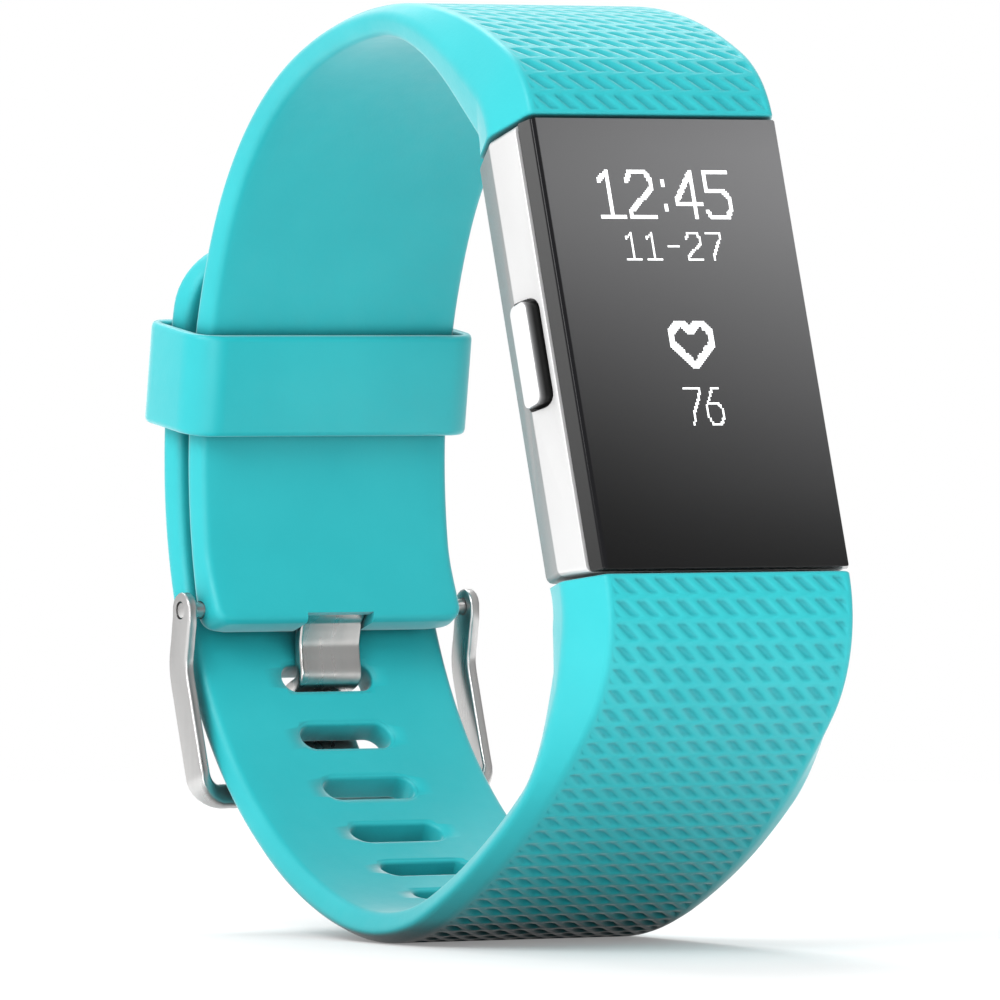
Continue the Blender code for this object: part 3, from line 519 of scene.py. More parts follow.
# ---- keeper and buckle
def build_keeper(material):
    """A smooth tube round both straps, its walls rounded at the rims."""
    sagitta = (KEEPER_HEIGHT / 2) ** 2 / (2 * UPPER_BACK_R)
    inner_r = UPPER_BACK_R - STRAP_DEPTH[1] - sagitta - KEEPER_CLEARANCE
    outer_r = LOWER_BACK_R + KEEPER_CLEARANCE
    half_x, half_r = EDGE_HALF[1] + KEEPER_CLEARANCE, (outer_r - inner_r) / 2
    angle = math.radians(KEEPER_ANGLE_DEG)
    out = Vector((0, math.cos(angle), math.sin(angle)))
    along = Vector((0, -math.sin(angle), math.cos(angle)))
    wall = rounded_rectangle(KEEPER_WALL / 2, KEEPER_HEIGHT / 2, KEEPER_RIM, 5)
    rings = []
    for w, h in wall:
        grow = KEEPER_WALL / 2 + w
        corner = KEEPER_INNER_CORNER + grow / KEEPER_WALL * (KEEPER_CORNER - KEEPER_INNER_CORNER)
        grow_x = grow * KEEPER_SIDE_WALL / KEEPER_WALL
        outline = rounded_rectangle(half_x + grow_x, half_r + grow, corner, 10)
        middle = BACK_CENTRE + out * (inner_r + half_r) + along * h
        rings.append([middle + Vector((x, 0, 0)) + out * r for x, r in outline])
    keeper = loft("keeper_band", rings, closed=True)
    finish_piece(keeper, "keeper", material, 60)


LEG_SIDE = Vector((1, 0, 0))
EYE_BLEND_STATIONS, CORNER_STATIONS = 4, 6


def leg_stations():
    """Down the left leg: centre from the pin, direction across the bar's edge, normal and half sizes."""
    bar = LOWER.place(CROSSBAR_S, CROSSBAR_LIFT) - PIN
    foot = LOWER.place(CROSSBAR_S + LEG_FOOT[0], LEG_FOOT[1]) - PIN
    ahead = (bar - foot).normalized()
    kink = Vector((0, *KINK))
    line = [Vector((0, 0, -0.6)), kink * 0.5, kink * 0.95, kink.lerp(foot, 0.35), foot.lerp(kink, 0.12)]
    line = curve_through([*line, bar - ahead * LEG_CORNER], 5)
    stations = []
    for degrees in (84, 66, 48, 30, 12):
        angle = math.radians(degrees)
        centre = Vector((-LEG_MID_X, 0, LEG_EYE_R * math.sin(angle)))
        thin = LEG_HALF[0] - LEG_EYE_THINNING * math.sin(angle) ** 6
        stations.append((centre, LEG_SIDE, Vector((0, 1, 0)), thin, LEG_EYE_R * math.cos(angle)))
    for i, point in enumerate(line):
        way = (line[min(i + 1, len(line) - 1)] - line[max(i - 1, 0)]).normalized()
        half = LEG_HALF[1] + (LEG_EYE_R - LEG_HALF[1]) * max(0.0, 1 - i / EYE_BLEND_STATIONS)
        centre = point + Vector((-LEG_MID_X, 0, 0))
        stations.append((centre, LEG_SIDE, Vector((0, -way.z, way.y)), LEG_HALF[0], half))
    normal = Vector((0, -ahead.z, ahead.y))
    for step in range(1, CORNER_STATIONS + 1):
        share = step / CORNER_STATIONS
        angle = math.radians(90 * share)
        reach = Vector((-LEG_MID_X + LEG_CORNER * (1 - math.cos(angle)), 0, 0))
        centre = bar + reach + ahead * LEG_CORNER * (math.sin(angle) - 1)
        side = Vector((math.cos(angle), 0, 0)) - ahead * math.sin(angle)
        half_side = LEG_HALF[0] + (CROSSBAR_HALF - LEG_HALF[0]) * share
        half_normal = LEG_HALF[1] + (CROSSBAR_THICKNESS / 2 - LEG_HALF[1]) * share
        stations.append((centre, side, normal, half_side, half_normal))
    return stations


def build_buckle_frame(material):
    """One U-shaped bar: leg, rounded corner, crossbar, corner, leg, with bores for the pin."""
    left = leg_stations()
    flip = Matrix.Diagonal((-1, 1, 1))
    right = []
    for centre, side, *rest in reversed(left):
        right.append((flip @ centre, flip @ side, *rest))
    rings = []
    for centre, side, normal, half_side, half_normal in [*left, *right]:
        outline = rounded_rectangle(half_side, half_normal, min(half_side, half_normal) * BAR_ROUNDING, 4)
        rings.append([PIN + centre + side * a + normal * b for a, b in outline])
    bar = loft("buckle_frame_bar", rings)
    cut(bar, x_cylinder("bore", PIN, PIN_BORE_R, PAST_SIDES))
    (start, end), (low, high) = TIP_NOTCH_ALONG, TIP_NOTCH_LIFT
    corners = ((start, low), (end, low), (end, high), (start, high))
    outline = [LOWER.place(CROSSBAR_S + along, lift) for along, lift in corners]
    rings = [[point + Vector((x, 0, 0)) for point in outline] for x in (-NOTCH_HALF, NOTCH_HALF)]
    cut(bar, loft("tip_notch", rings))
    finish_piece(bar, "buckle_frame", material, 50)


def x_cylinder(name, centre, radius, half, edge=0.0):
    """A cylinder along X about a point, its rims rounded by edge."""
    levels = [(-half, radius)]
    if edge:
        near = 0.3 * edge
        levels = [(-half, radius - edge), (-half + near, radius - near), (-half + edge, radius)]
    levels += [(-x, r) for x, r in reversed(levels)]
    rings = []
    for x, r in levels:
        angles = [math.radians(7.5 * i) for i in range(48)]
        rings.append([centre + Vector((x, r * math.cos(a), r * math.sin(a))) for a in angles])
    return loft(name, rings)


def build_tongue(material):
    """The rolled eye and the plate that drops through the slot and lies on the crossbar."""
    lift = CROSSBAR_GAP + TONGUE_THICK / 2
    points = [PIN + Vector((0, *place)) for place in TONGUE_DROP]
    points.append(LOWER.place(SLOT_S - TONGUE_ENTRY, -STRAP_DEPTH[1]))
    points.append(LOWER.place(SLOT_S - TONGUE_EXIT, lift - TONGUE_EXIT_DEPTH))
    points += [LOWER.place(SLOT_S - back, lift) for back in TONGUE_RUN]
    points.append(LOWER.place(CROSSBAR_S + TONGUE_OVERLAP, lift))
    line = curve_through(points, 6)
    rings = []
    for i, point in enumerate(line):
        way = (line[min(i + 1, len(line) - 1)] - line[max(i - 1, 0)]).normalized()
        normal = Vector((0, -way.z, way.y))
        inset = TONGUE_TIP_INSET if i == len(line) - 1 else 0.0
        outline = rounded_rectangle(TONGUE_HALF - inset, TONGUE_THICK / 2 - inset, TONGUE_CORNER, 4)
        rings.append([point + Vector((a, 0, 0)) + normal * b for a, b in outline])
    tongue = loft("buckle_tongue_plate", rings)
    cut(tongue, x_cylinder("eye", PIN, TONGUE_EYE_R, TONGUE_HALF, TONGUE_EYE_EDGE), "UNION")
    cut(tongue, x_cylinder("bore", PIN, PIN_BORE_R, PAST_SIDES))
    finish_piece(tongue, "buckle_tongue", material, 50)


def build_pin(material):
    low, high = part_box("buckle_pin")
    radius = (high.z - low.z) / 2 / MM
    pin = x_cylinder("buckle_pin_rod", PIN, radius, high.x / MM, PIN_EDGE)
    finish_piece(pin, "buckle_pin", material)


# ---- tracker body
def place_in_tracker(rings):
    """Rings from the tracker frame to the band's."""
    return [[TRACKER @ Vector(point) for point in ring] for ring in rings]


def build_glass(material):
    """The cover glass: a sloping side, a small rounded edge and a flat face."""
    stations = [GLASS_FOOT, GLASS_SHOULDER]
    for degrees in (30, 60, 90):
        angle = math.radians(degrees)
        inset = GLASS_EDGE * (1 - math.cos(angle))
        half_x = GLASS_SHOULDER[0] - GLASS_STEP - inset
        stations.append((half_x, GLASS_HALF_Y - inset, -GLASS_EDGE * (1 - math.sin(angle))))
    rings = []
    for half_x, half_y, z in stations:
        rings.append([(x, y, z) for x, y in rounded_rectangle(half_x, half_y, GLASS_CORNER, 5)])
    glass = loft("cover_glass_lens", place_in_tracker(rings))
    finish_piece(glass, "cover_glass", material, 25)


def build_side_button(material):
    """A rounded rectangular key with a crisp rounded rim and a barely crowned face, on its stem."""
    levels = [(BUTTON_IN_X, BUTTON_IN_EDGE), (BUTTON_IN_X - BUTTON_IN_EDGE, 0.0)]
    for degrees in range(0, 91, 18):
        angle = math.radians(degrees)
        x = BUTTON_OUT_X + BUTTON_EDGE * (1 - math.sin(angle))
        levels.append((x, BUTTON_EDGE * (1 - math.cos(angle))))
    levels += [(BUTTON_OUT_X - rise, inset) for rise, inset in BUTTON_CROWN]
    rings = []
    for x, inset in levels:
        half_y, half_z = BUTTON_LENGTH / 2 - inset, BUTTON_HEIGHT / 2 - inset
        outline = rounded_rectangle(half_y, half_z, max(0.1, BUTTON_CORNER - inset), 8)
        rings.append([(x, y, BUTTON_Z + rise) for y, rise in outline])
    button = loft("side_button_cap", place_in_tracker(rings))
    stem = x_cylinder("stem", TRACKER @ Vector((STEM_MID_X, 0, STEM_Z)), STEM_R, STEM_HALF)
    finish_piece(merged("side_button_key", [button, stem]), "side_button", material, 30)


def build_refined(node, width, material):
    """The node's own shape, its flat faces joined up and its sharp edges rounded."""
    mesh = frame["nodes"][node].data.copy()
    bm = bmesh.new()
    bm.from_mesh(mesh)
    bmesh.ops.remove_doubles(bm, verts=bm.verts, dist=1e-6)
    bmesh.ops.dissolve_limit(bm, angle_limit=math.radians(0.5), verts=bm.verts, edges=bm.edges)
    bm.to_mesh(mesh)
    bm.free()
    obj = add_object(node + "_rounded", mesh)
    bevel(obj, width)
    finish_piece(obj, node, material)


# ---- readout
# Each glyph as strokes in a unit square, from bottom left to top right
GLYPHS = {
    "0": (((0.2, 0), (0.8, 0), (1, 0.2), (1, 0.8), (0.8, 1), (0.2, 1), (0, 0.8), (0, 0.2), (0.2, 0)),),
    "1": (((0.1, 0.8), (0.5, 1), (0.5, 0)), ((0.05, 0), (0.95, 0))),
    "2": (((0, 0.8), (0.2, 1), (0.8, 1), (1, 0.8), (1, 0.62), (0, 0.12), (0, 0), (1, 0)),),
    "4": (((0.75, 0), (0.75, 1), (0, 0.35), (0, 0.28), (1, 0.28)),),
    "5": (
        ((1, 1), (0.05, 1), (0.05, 0.58), (0.75, 0.58), (1, 0.4)),
        ((1, 0.4), (1, 0.2), (0.8, 0), (0.1, 0), (0, 0.12)),
    ),
    "6": (
        ((0.85, 1), (0.5, 1), (0, 0.5), (0, 0.2), (0.2, 0), (0.8, 0)),
        ((0.8, 0), (1, 0.2), (1, 0.38), (0.8, 0.55), (0.1, 0.55)),
    ),
    "7": (((0, 1), (1, 1), (1, 0.85), (0.45, 0.25), (0.4, 0)),),
    ":": (((0.5, 0.18), (0.5, 0.24)), ((0.5, 0.72), (0.5, 0.78))),
    "-": (((0.1, 0.5), (0.9, 0.5)),),
    "heart": (
        ((0.5, 0), (0, 0.5), (0, 0.82), (0.18, 1), (0.32, 1), (0.5, 0.82)),
        ((0.5, 0.82), (0.68, 1), (0.82, 1), (1, 0.82), (1, 0.5), (0.5, 0)),
    ),
}
# Text, middle x, bottom y, glyph width, height, gap and stroke, in the tracker frame
READOUT = (
    ("12:45", -0.15, 8.6, 1.82, 3.12, 0.48, 0.28),
    ("11-27", -0.07, 5.65, 1.1, 1.8, 0.46, 0.13),
    (("heart",), 0.12, -1.7, 2.9, 2.95, 0.0, 0.36),
    ("76", 0.25, -5.6, 1.15, 2.4, 0.45, 0.13),
)
# Pitch of the panel's dots, and the share of it that a lit row fills
DOT, DOT_FILL = 0.13, 0.92
COLON_WIDTH = 0.45
BAR_FOOT, BAR_THICKNESS = 0.004, 0.012


def lit_dots(text, middle, bottom, width, height, gap, stroke):
    """Grid cells of the panel that a line of text lights."""
    widths = [width * (COLON_WIDTH if glyph == ":" else 1.0) for glyph in text]
    left = middle - (sum(widths) + gap * (len(widths) - 1)) / 2
    dots = set()
    for glyph, wide in zip(text, widths):
        for line in GLYPHS[glyph]:
            for (x0, y0), (x1, y1) in zip(line, line[1:]):
                count = 1 + int(math.hypot((x1 - x0) * wide, (y1 - y0) * height) / (DOT / 3))
                for step in range(count + 1):
                    t = step / count
                    x = left + (x0 + (x1 - x0) * t) * wide
                    y = bottom + (y0 + (y1 - y0) * t) * height
                    reach = max(0, round(stroke / DOT) - 1)
                    cell = (round((x - stroke / 2) / DOT), round((y - stroke / 2) / DOT))
                    for i in range(reach + 1):
                        for j in range(reach + 1):
                            dots.add((cell[0] + i, cell[1] + j))
        left += wide + gap
    return dots


def build_readout(material):
    """One thin bar for each lit run of panel dots, just proud of the glass."""
    dots = set()
    for line in READOUT:
        dots |= lit_dots(*line)
    bars = []
    for x, y in sorted(dots):
        if (x - 1, y) in dots:
            continue
        run = 1
        while (x + run, y) in dots:
            run += 1
        low = Vector((x * DOT, y * DOT, BAR_FOOT))
        size = Vector((run * DOT, DOT * DOT_FILL, BAR_THICKNESS))
        bars.append(tracker_box("run", low, low + size))
    readout = merged("display_readout", bars)
    readout.data.materials.append(material)
    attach(readout, "band")


# ---- materials
class Shader:
    """Short forms for building the nodes of a material or of the world."""

    def __init__(self, owner):
        self.owner = owner
        owner.use_nodes = True
        self.nodes = owner.node_tree.nodes

    @classmethod
    def material(cls, name):
        return cls(bpy.data.materials.new(name))

    def add(self, kind, **settings):
        node = self.nodes.new("ShaderNode" + kind)
        for key, value in settings.items():
            setattr(node, key, value)
        return node

    def link(self, source, target):
        self.owner.node_tree.links.new(source, target)

    def put(self, socket, value):
        """Sets a socket, or links another node's output to it."""
        if isinstance(value, bpy.types.NodeSocket):
            self.link(value, socket)
        else:
            socket.default_value = value

    def surface(self, **inputs):
        """Sets inputs of the surface shader, named in lower case with underscores."""
        for name, value in inputs.items():
            title = name.replace("_", " ").title().replace("Ior", "IOR")
            self.put(self.nodes["Principled BSDF"].inputs[title], value)

    def math(self, operation, a, b=0.0, c=0.0, clamp=False):
        node = self.add("Math", operation=operation, use_clamp=clamp)
        for socket, value in zip(node.inputs, (a, b, c)):
            self.put(socket, value)
        return node.outputs[0]

    def mix(self, factor, a, b):
        """Colour a where the factor is 0 and b where it is 1."""
        node = self.add("Mix", data_type="RGBA")
        self.put(node.inputs[0], factor)
        self.put(node.inputs[6], a)
        self.put(node.inputs[7], b)
        return node.outputs[2]

    def noise(self, scale, detail=3.0, stretch=(1, 1, 1)):
        """Noise fixed to the object, scale in cells a metre."""
        place = self.add("TexCoord")
        mapping = self.add("Mapping")
        mapping.inputs["Scale"].default_value = stretch
        noise = self.add("TexNoise")
        noise.inputs["Scale"].default_value = scale
        noise.inputs["Detail"].default_value = detail
        self.link(place.outputs["Object"], mapping.inputs["Vector"])
        self.link(mapping.outputs[0], noise.inputs["Vector"])
        return noise.outputs["Fac"]

    def place_in(self, empty):
        """X, Y and Z in millimetres in the frame of an empty."""
        place = self.add("TexCoord", object=empty)
        split = self.add("SeparateXYZ")
        self.link(place.outputs["Object"], split.inputs[0])
        return [self.math("DIVIDE", split.outputs[i], MM) for i in range(3)]

    def spread(self, value, low, high, start=0.3, end=0.7):
        """Remaps start..end to low..high; a noise lies mostly between 0.3 and 0.7."""
        node = self.add("MapRange")
        self.put(node.inputs["Value"], value)
        node.inputs["From Min"].default_value = start
        node.inputs["From Max"].default_value = end
        node.inputs["To Min"].default_value = low
        node.inputs["To Max"].default_value = high
        return node.outputs[0]

    def past(self, value, start, gain):
        """Rises from 0 at the start by gain a unit, to 1; with a negative gain, towards lower values."""
        return self.math("MULTIPLY", self.math("SUBTRACT", value, start), gain, clamp=True)

    def by_ray(self, seen, other):
        """One value for what the camera sees and another for the light that reaches other pieces."""
        camera = self.add("LightPath").outputs["Is Camera Ray"]
        return self.math("MULTIPLY_ADD", camera, self.math("SUBTRACT", seen, other), other)

    def ramp(self, factor, stops):
        """A smooth grey ramp through stops of place and level."""
        node = self.add("ValToRGB")
        node.color_ramp.interpolation = "B_SPLINE"
        elements = node.color_ramp.elements
        while len(elements) < len(stops):
            elements.new(0.5)
        for element, (place, level) in zip(elements, stops):
            element.position = place
            element.color = rgba(level, level, level * 1.02)
        self.put(node.inputs[0], factor)
        return node.outputs[0]

    def bump(self, height, distance, strength):
        """Relief from a height of 0 to 1; distance in millimetres."""
        node = self.add("Bump")
        node.inputs["Strength"].default_value = strength
        node.inputs["Distance"].default_value = distance * MM
        self.link(height, node.inputs["Height"])
        self.surface(normal=node.outputs[0])


def rgba(red, green, blue):
    return (red, green, blue, 1.0)


def dimmed(colour, share):
    return rgba(*(share * level for level in colour[:3]))


TEAL, PALE_TEAL = rgba(0.010, 0.38, 0.415), rgba(0.05, 0.6, 0.62)
# Painted shade colours: in the pits, and in closed-in corners between the straps and the keeper
PIT_SHADE_TEAL, CORNER_SHADE_TEAL = rgba(0.002, 0.22, 0.26), rgba(0.0, 0.06, 0.07)
# Painted shade in the silicone's closed-in corners, from ambient occlusion: how far it reaches, then gain and
# offset from open to closed
CORNER_SHADE_REACH, CORNER_SHADE_GAIN, CORNER_SHADE_OFFSET = 2.5, -2.2, 1.4
# How much painted shade the pits get
PIT_SHADE = 0.4
# Painted shade on the case below its ridge: where it starts, and its grey
RIDGE_Z, UNDER_RIDGE_SHADE = -3.4, rgba(0.285, 0.285, 0.285)
# Painted shade on the key's walls: how they are told from its face by their normal, and how far in they lie by X
WALL_GAIN, WALL_OFFSET, RECESS_GAIN, RECESS_OFFSET = 4.0, 3.2, 2.0, 21.75
# Painted shade levels on the key's walls, from the rim in to the recess
RECESS_SHADE_TONES = ((0.0, 0.3), (0.25, 0.12), (0.6, 0.05), (0.9, 0.004))


def silicone(name, roughness):
    """Dyed silicone: a faint mottle, a fine moulded tooth, painted shade in the pits and painted shade in
    closed-in corners.
    """
    shader = Shader.material(name)
    base = shader.mix(shader.spread(shader.noise(160, 4), 0.0, 0.12), TEAL, PALE_TEAL)
    # Painted shade in the pits
    pit = shader.add("Attribute", attribute_name="pit")
    base = shader.mix(shader.math("MULTIPLY", pit.outputs["Fac"], PIT_SHADE), base, PIT_SHADE_TEAL)
    # Painted shade in closed-in corners, from ambient occlusion
    corner = shader.add("AmbientOcclusion", samples=6)
    corner.inputs["Distance"].default_value = CORNER_SHADE_REACH * MM
    closed = shader.math("MULTIPLY_ADD", corner.outputs["AO"], CORNER_SHADE_GAIN, CORNER_SHADE_OFFSET, clamp=True)
    base = shader.mix(closed, base, CORNER_SHADE_TEAL)
    rough = shader.spread(shader.noise(900), roughness - 0.05, roughness + 0.05)
    shader.surface(base_color=base, roughness=rough)
    shader.surface(specular_ior_level=0.4, sheen_weight=0.5, sheen_roughness=0.35)
    shader.bump(shader.noise(5200, 2), 0.012, 0.5)
    return shader.owner


def brushed_metal(name, colour, roughness, stretch):
    """Metal with fine directional brushing."""
    shader = Shader.material(name)
    grain = shader.noise(900, 5, stretch)
    base = shader.mix(shader.spread(grain, 0.0, 0.35), colour, dimmed(colour, 0.8))
    shader.surface(base_color=base, metallic=1.0)
    shader.surface(roughness=shader.spread(grain, roughness - 0.06, roughness + 0.1))
    shader.bump(grain, 0.006, 0.5)
    return shader.owner


def bead_blasted(name, colour, shade, tracker_empty):
    """Anodised aluminium with a fine blasted grain, with painted shade added in places by shade."""
    shader = Shader.material(name)
    grain = shader.noise(9000, 2)
    base = shader.mix(shader.spread(shader.noise(220), 0.0, 0.2), colour, dimmed(colour, 0.88))
    base = shade(shader, base, shader.place_in(tracker_empty))
    shader.surface(base_color=base, metallic=0.45, roughness=shader.spread(grain, 0.37, 0.47))
    shader.bump(grain, 0.004, 0.5)
    return shader.owner


def shade_case(shader, base, place):
    """Painted shade on the case below the ridge."""
    return shader.mix(shader.past(place[2], RIDGE_Z, -8.0), base, UNDER_RIDGE_SHADE)


def shade_key(shader, base, place):
    """Painted shade on the key's walls, darker the deeper they stand in the recess."""
    facing = shader.add("SeparateXYZ")
    shader.link(shader.add("NewGeometry").outputs["Normal"], facing.inputs[0])
    wall = shader.math("MULTIPLY_ADD", facing.outputs[0], WALL_GAIN, WALL_OFFSET, clamp=True)
    inside = shader.math("MULTIPLY_ADD", place[0], RECESS_GAIN, RECESS_OFFSET, clamp=True)
    return shader.mix(wall, base, shader.ramp(inside, RECESS_SHADE_TONES))


def plain(name, colour, roughness, metallic=0.0, scale=600, second=None):
    """Moulded or plated small parts: a two-tone mottle and a fine bump."""
    shader = Shader.material(name)
    second = second or dimmed(colour, 0.7)
    base = shader.mix(shader.spread(shader.noise(scale, 4), 0.0, 1.0), colour, second)
    shader.surface(base_color=base, metallic=metallic)
    shader.surface(roughness=shader.spread(shader.noise(scale * 3), roughness - 0.06, roughness + 0.06))
    shader.bump(shader.noise(scale * 8, 2), 0.006, 0.4)
    return shader.owner


# Painted reflection on the glass, from its top edge down, along its left and its right side
LEFT_PAINTED_REFLECTION = ((0.0, 0.11), (0.17, 0.12), (0.4, 0.068), (0.62, 0.032), (0.82, 0.009), (1.0, 0.002))
RIGHT_PAINTED_REFLECTION = ((0.0, 0.165), (0.1, 0.2), (0.35, 0.13), (0.6, 0.078), (0.82, 0.036), (1.0, 0.006))
PAINTED_REFLECTION_LOSS, RIM_WIDTH, SIDE_Z = 0.09, 0.32, -0.12


def cover_glass(tracker_empty):
    """Black glass with a painted soft grey reflection, brighter to the upper right, a painted dark reflection
    along its left rim and a painted grey reflection on its sloping side.
    """
    shader = Shader.material("cover_glass")
    x, y, z = shader.place_in(tracker_empty)
    down = shader.math("MULTIPLY_ADD", y, -1 / (2 * GLASS_HALF_Y), 0.5)
    right = shader.math("MULTIPLY_ADD", x, 1 / (2 * GLASS_HALF_X), 0.5, clamp=True)
    # Painted reflection: the left and right ramps blended across the glass
    painted_reflection = shader.mix(right, shader.ramp(down, LEFT_PAINTED_REFLECTION), shader.ramp(down, RIGHT_PAINTED_REFLECTION))
    painted_reflection = shader.mix(PAINTED_REFLECTION_LOSS, painted_reflection, rgba(0, 0, 0))
    # Painted dark reflection along the left rim
    left_rim_reflection = shader.past(x, RIM_WIDTH - GLASS_HALF_X, -12.0)
    colour = shader.mix(left_rim_reflection, painted_reflection, rgba(0.004, 0.004, 0.005))
    # Painted grey reflection on the sloping side, darker towards the bottom
    slope_reflection = shader.mix(down, rgba(0.07, 0.07, 0.07), rgba(0.025, 0.025, 0.025))
    colour = shader.mix(shader.past(z, SIDE_Z, -20.0), colour, slope_reflection)
    smear = shader.spread(shader.noise(120), 0.1, 0.16)
    shader.surface(base_color=colour, roughness=smear, specular_ior_level=0.2)
    return shader.owner


def lit_dots_material():
    """Panel dots: white light with a faint cell-to-cell change."""
    shader = Shader.material("display_light")
    level = shader.spread(shader.noise(2500), 0.86, 1.0)
    shader.surface(base_color=rgba(0.8, 0.8, 0.8), roughness=0.5)
    shader.surface(emission_color=rgba(0.9, 0.93, 0.94), emission_strength=level)
    return shader.owner


def circuit_board():
    """Green board with copper-toned tracks."""
    shader = Shader.material("circuit_board")
    tracks = shader.add("TexBrick")
    tracks.inputs["Scale"].default_value = 900
    place = shader.add("TexCoord")
    shader.link(place.outputs["Object"], tracks.inputs["Vector"])
    tracks.inputs["Color1"].default_value = rgba(0.02, 0.14, 0.06)
    tracks.inputs["Color2"].default_value = rgba(0.03, 0.18, 0.08)
    tracks.inputs["Mortar"].default_value = rgba(0.30, 0.24, 0.08)
    rough = shader.spread(shader.noise(700), 0.35, 0.5)
    shader.surface(base_color=tracks.outputs["Color"], roughness=rough)
    return shader.owner


# Colour, roughness, metallic, scale of the mottle and its second colour
PLAIN = {
    "display": (rgba(0.006, 0.006, 0.008), 0.25),
    "black_rubber": (rgba(0.015, 0.015, 0.016), 0.7),
    "black_plastic": (rgba(0.02, 0.02, 0.023), 0.45),
    "battery_wrap": (rgba(0.5, 0.51, 0.53), 0.4, 0.5, 90),
    "gold_flex": (rgba(0.72, 0.45, 0.12), 0.35, 0.6),
    "gold_contact": (rgba(0.85, 0.6, 0.22), 0.25, 1.0),
    "sensor_glass": (rgba(0.02, 0.03, 0.03), 0.08, 0.0, 200, rgba(0.03, 0.035, 0.04)),
    "green_led": (rgba(0.08, 0.6, 0.2), 0.25, 0.0, 900, rgba(0.3, 0.8, 0.35)),
}
# Colour, roughness and the stretch that gives the brushing its direction
BRUSHED = {
    "stainless_steel": (rgba(0.48, 0.475, 0.47), 0.3, (1, 1, 0.06)),
    # The tongue's steel: a slightly darker copy of the stainless steel, its darkness painted shade
    "shaded_tongue_steel": (rgba(0.46, 0.45, 0.44), 0.27, (1, 1, 0.06)),
    "tungsten": (rgba(0.3, 0.3, 0.32), 0.4, (1, 0.1, 1)),
}
SILICONE = {"teal_silicone": 0.5, "teal_silicone_smooth": 0.42}
BLASTED = {
    "anodised_aluminium": (rgba(0.57, 0.57, 0.57), shade_case),
    "key_aluminium": (rgba(0.7, 0.7, 0.7), shade_key),
}


def make_materials(tracker_empty):
    made = {"cover_glass": cover_glass(tracker_empty), "circuit_board": circuit_board()}
    made |= {name: silicone(name, rough) for name, rough in SILICONE.items()}
    made |= {name: bead_blasted(name, *looks, tracker_empty) for name, looks in BLASTED.items()}
    made |= {name: brushed_metal(name, *looks) for name, looks in BRUSHED.items()}
    made |= {name: plain(name, *looks) for name, looks in PLAIN.items()}
    return made


# ---- studio
# Softboxes in metres and watts: name, place, what they face, size and power
SOFTBOXES = (
    ("key", (-0.5, -0.25, 0.45), (0, 0, 0.03), 0.4, 3.0),
    ("fill", (-0.3, -0.55, 0.05), (0, 0, 0.01), 0.25, 0.9),
    ("rim", (0.1, 0.35, 0.55), (0, 0, 0.03), 0.35, 2.6),
)
SKY_BRIGHT_SIDE, SKY_REACH, SKY_DIM, SKY_BRIGHT = (-0.75, 0.0, 0.35), 0.8, 0.43, 1.1

# Floor, in metres: it fades out just inside its radius, and gives little light back under the band
FLOOR_RADIUS, FLOOR_FADE, UNDER_BAND = 0.3, 0.28, 0.014
FLOOR_SEEN, GLOW_SEEN = 0.62, 0.23
BOUNCE_NEAR, BOUNCE_GAIN, GLOW_FAR = 0.2, 0.7, 0.34

# Camera: what it looks at from the middle of the glass face, and focal length over sensor width
AIM, ZOOM, SENSOR_MM = Vector((0, 24.85, -10.65)), 11.92, 36
AZIMUTH_DEG, ELEVATION_DEG, CAMERA_DISTANCE = 30.0, 0.85, 0.8


def build_world():
    """White behind the object; the light on it is a soft gradient, brighter to the upper left."""
    world = bpy.data.worlds.new("studio")
    bpy.context.scene.world = world
    shader = Shader(world)
    dot = shader.add("VectorMath", operation="DOT_PRODUCT")
    dot.inputs[1].default_value = SKY_BRIGHT_SIDE
    shader.link(shader.add("TexCoord").outputs["Generated"], dot.inputs[0])
    level = shader.spread(dot.outputs["Value"], SKY_DIM, SKY_BRIGHT, -SKY_REACH, SKY_REACH)
    background = shader.nodes["Background"]
    shader.put(background.inputs["Strength"], shader.by_ray(1.0, level))
    background.inputs["Color"].default_value = rgba(1, 1, 1)


def add_softbox(name, place, target, size, watts):
    light = bpy.data.lights.new(name, "AREA")
    light.shape = "DISK"
    light.size = size
    light.energy = watts
    lamp = add_object(name, light)
    lamp.location = place
    lamp.rotation_euler = (Vector(target) - Vector(place)).to_track_quat("-Z", "Y").to_euler()


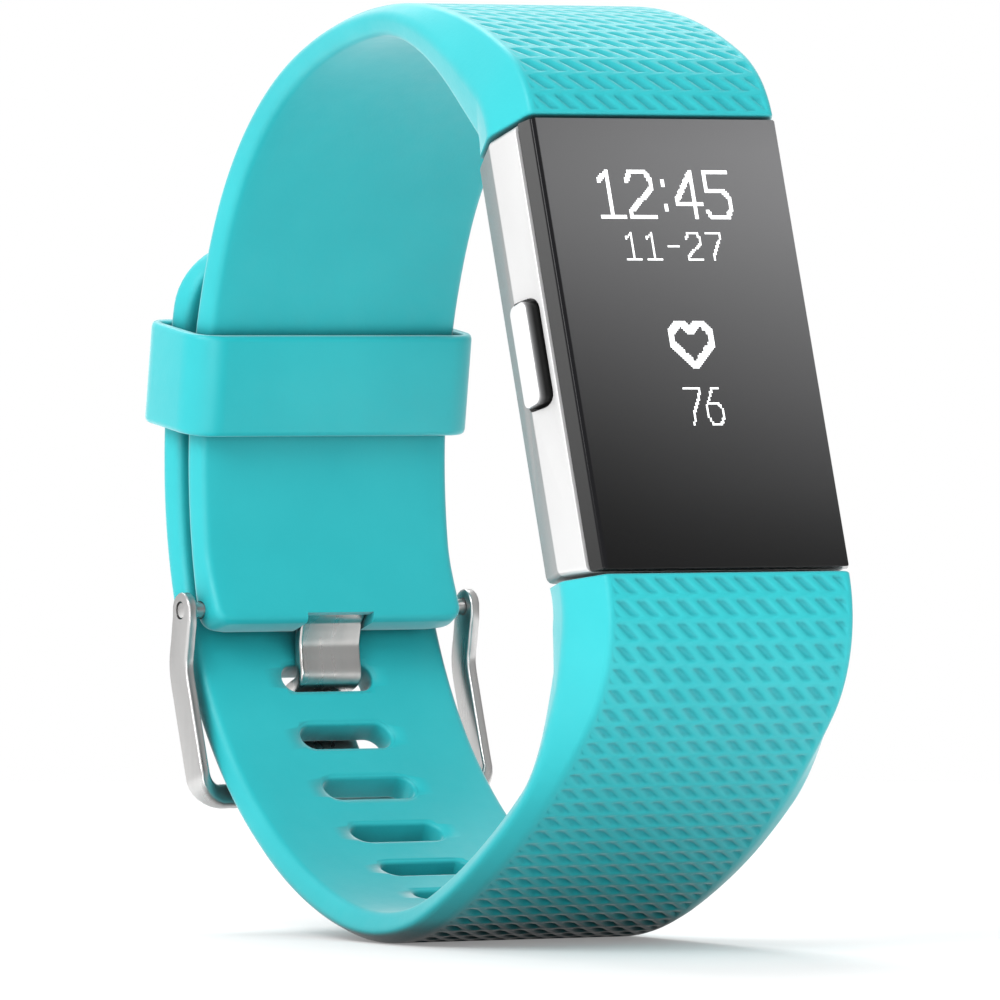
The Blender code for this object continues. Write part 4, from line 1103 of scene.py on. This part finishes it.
def floor_material():
    """Pale and faintly mottled; the light it sends to other pieces grows away from the band."""
    shader = Shader.material("pale_floor")
    length = shader.add("VectorMath", operation="LENGTH")
    shader.link(shader.add("TexCoord").outputs["Object"], length.inputs[0])
    radius = length.outputs["Value"]
    far = shader.past(radius, UNDER_BAND, 34.0)
    bounce = shader.math("MULTIPLY_ADD", far, BOUNCE_GAIN, BOUNCE_NEAR)
    mottle = shader.spread(shader.noise(60), 0.93, 0.96)
    shade = shader.math("MULTIPLY", mottle, shader.by_ray(FLOOR_SEEN, bounce))
    glow = shader.by_ray(GLOW_SEEN, shader.math("MULTIPLY", far, GLOW_FAR))
    shader.surface(base_color=shade, roughness=0.9, specular_ior_level=0.0)
    shader.surface(alpha=shader.past(radius, FLOOR_FADE, -8.0))
    shader.surface(emission_color=rgba(1, 1, 1), emission_strength=glow)
    return shader.owner


def build_floor():
    """A pale disc under the band that fades out into the white background."""
    bm = bmesh.new()
    bmesh.ops.create_circle(bm, cap_ends=True, segments=96, radius=FLOOR_RADIUS)
    mesh = bpy.data.meshes.new("floor")
    bm.to_mesh(mesh)
    bm.free()
    mesh.materials.append(floor_material())
    add_object("floor", mesh)


def add_camera():
    azimuth, elevation = math.radians(AZIMUTH_DEG), math.radians(ELEVATION_DEG)
    back = Vector((-math.sin(azimuth), -math.cos(azimuth), 0)) * math.cos(elevation)
    back.z = math.sin(elevation)
    data = bpy.data.cameras.new("camera")
    data.sensor_width = SENSOR_MM
    data.lens = SENSOR_MM * ZOOM
    data.clip_end = 10
    camera = add_object("camera", data)
    camera.location = (FACE + AIM) * MM + back * CAMERA_DISTANCE
    camera.rotation_euler = (-back).to_track_quat("-Z", "Y").to_euler()
    bpy.context.scene.camera = camera


def finish_carried_nodes(materials):
    """Gives the CAD nodes that are still shown their node materials."""
    for node, obj in frame["nodes"].items():
        if not obj.hide_render:
            obj.data.materials.clear()
            obj.data.materials.append(materials[SLOT_OF[node]])


def main():
    bpy.context.scene.view_settings.view_transform = "Standard"
    tracker_empty = add_object("tracker_frame", None)
    tracker_empty.matrix_world = Matrix.Translation(FACE * MM) @ Matrix.Rotation(TILT, 4, "X")
    materials = make_materials(tracker_empty)
    build_straps(materials["teal_silicone"])
    build_keeper(materials["teal_silicone_smooth"])
    build_buckle_frame(materials["stainless_steel"])
    build_tongue(materials["shaded_tongue_steel"])
    build_pin(materials["stainless_steel"])
    build_glass(materials["cover_glass"])
    build_side_button(materials["key_aluminium"])
    build_refined("case_frame", 0.1, materials["anodised_aluminium"])
    build_refined("rear_cover", 0.12, materials["black_plastic"])
    build_readout(lit_dots_material())
    finish_carried_nodes(materials)
    build_world()
    for softbox in SOFTBOXES:
        add_softbox(*softbox)
    build_floor()
    add_camera()


main()
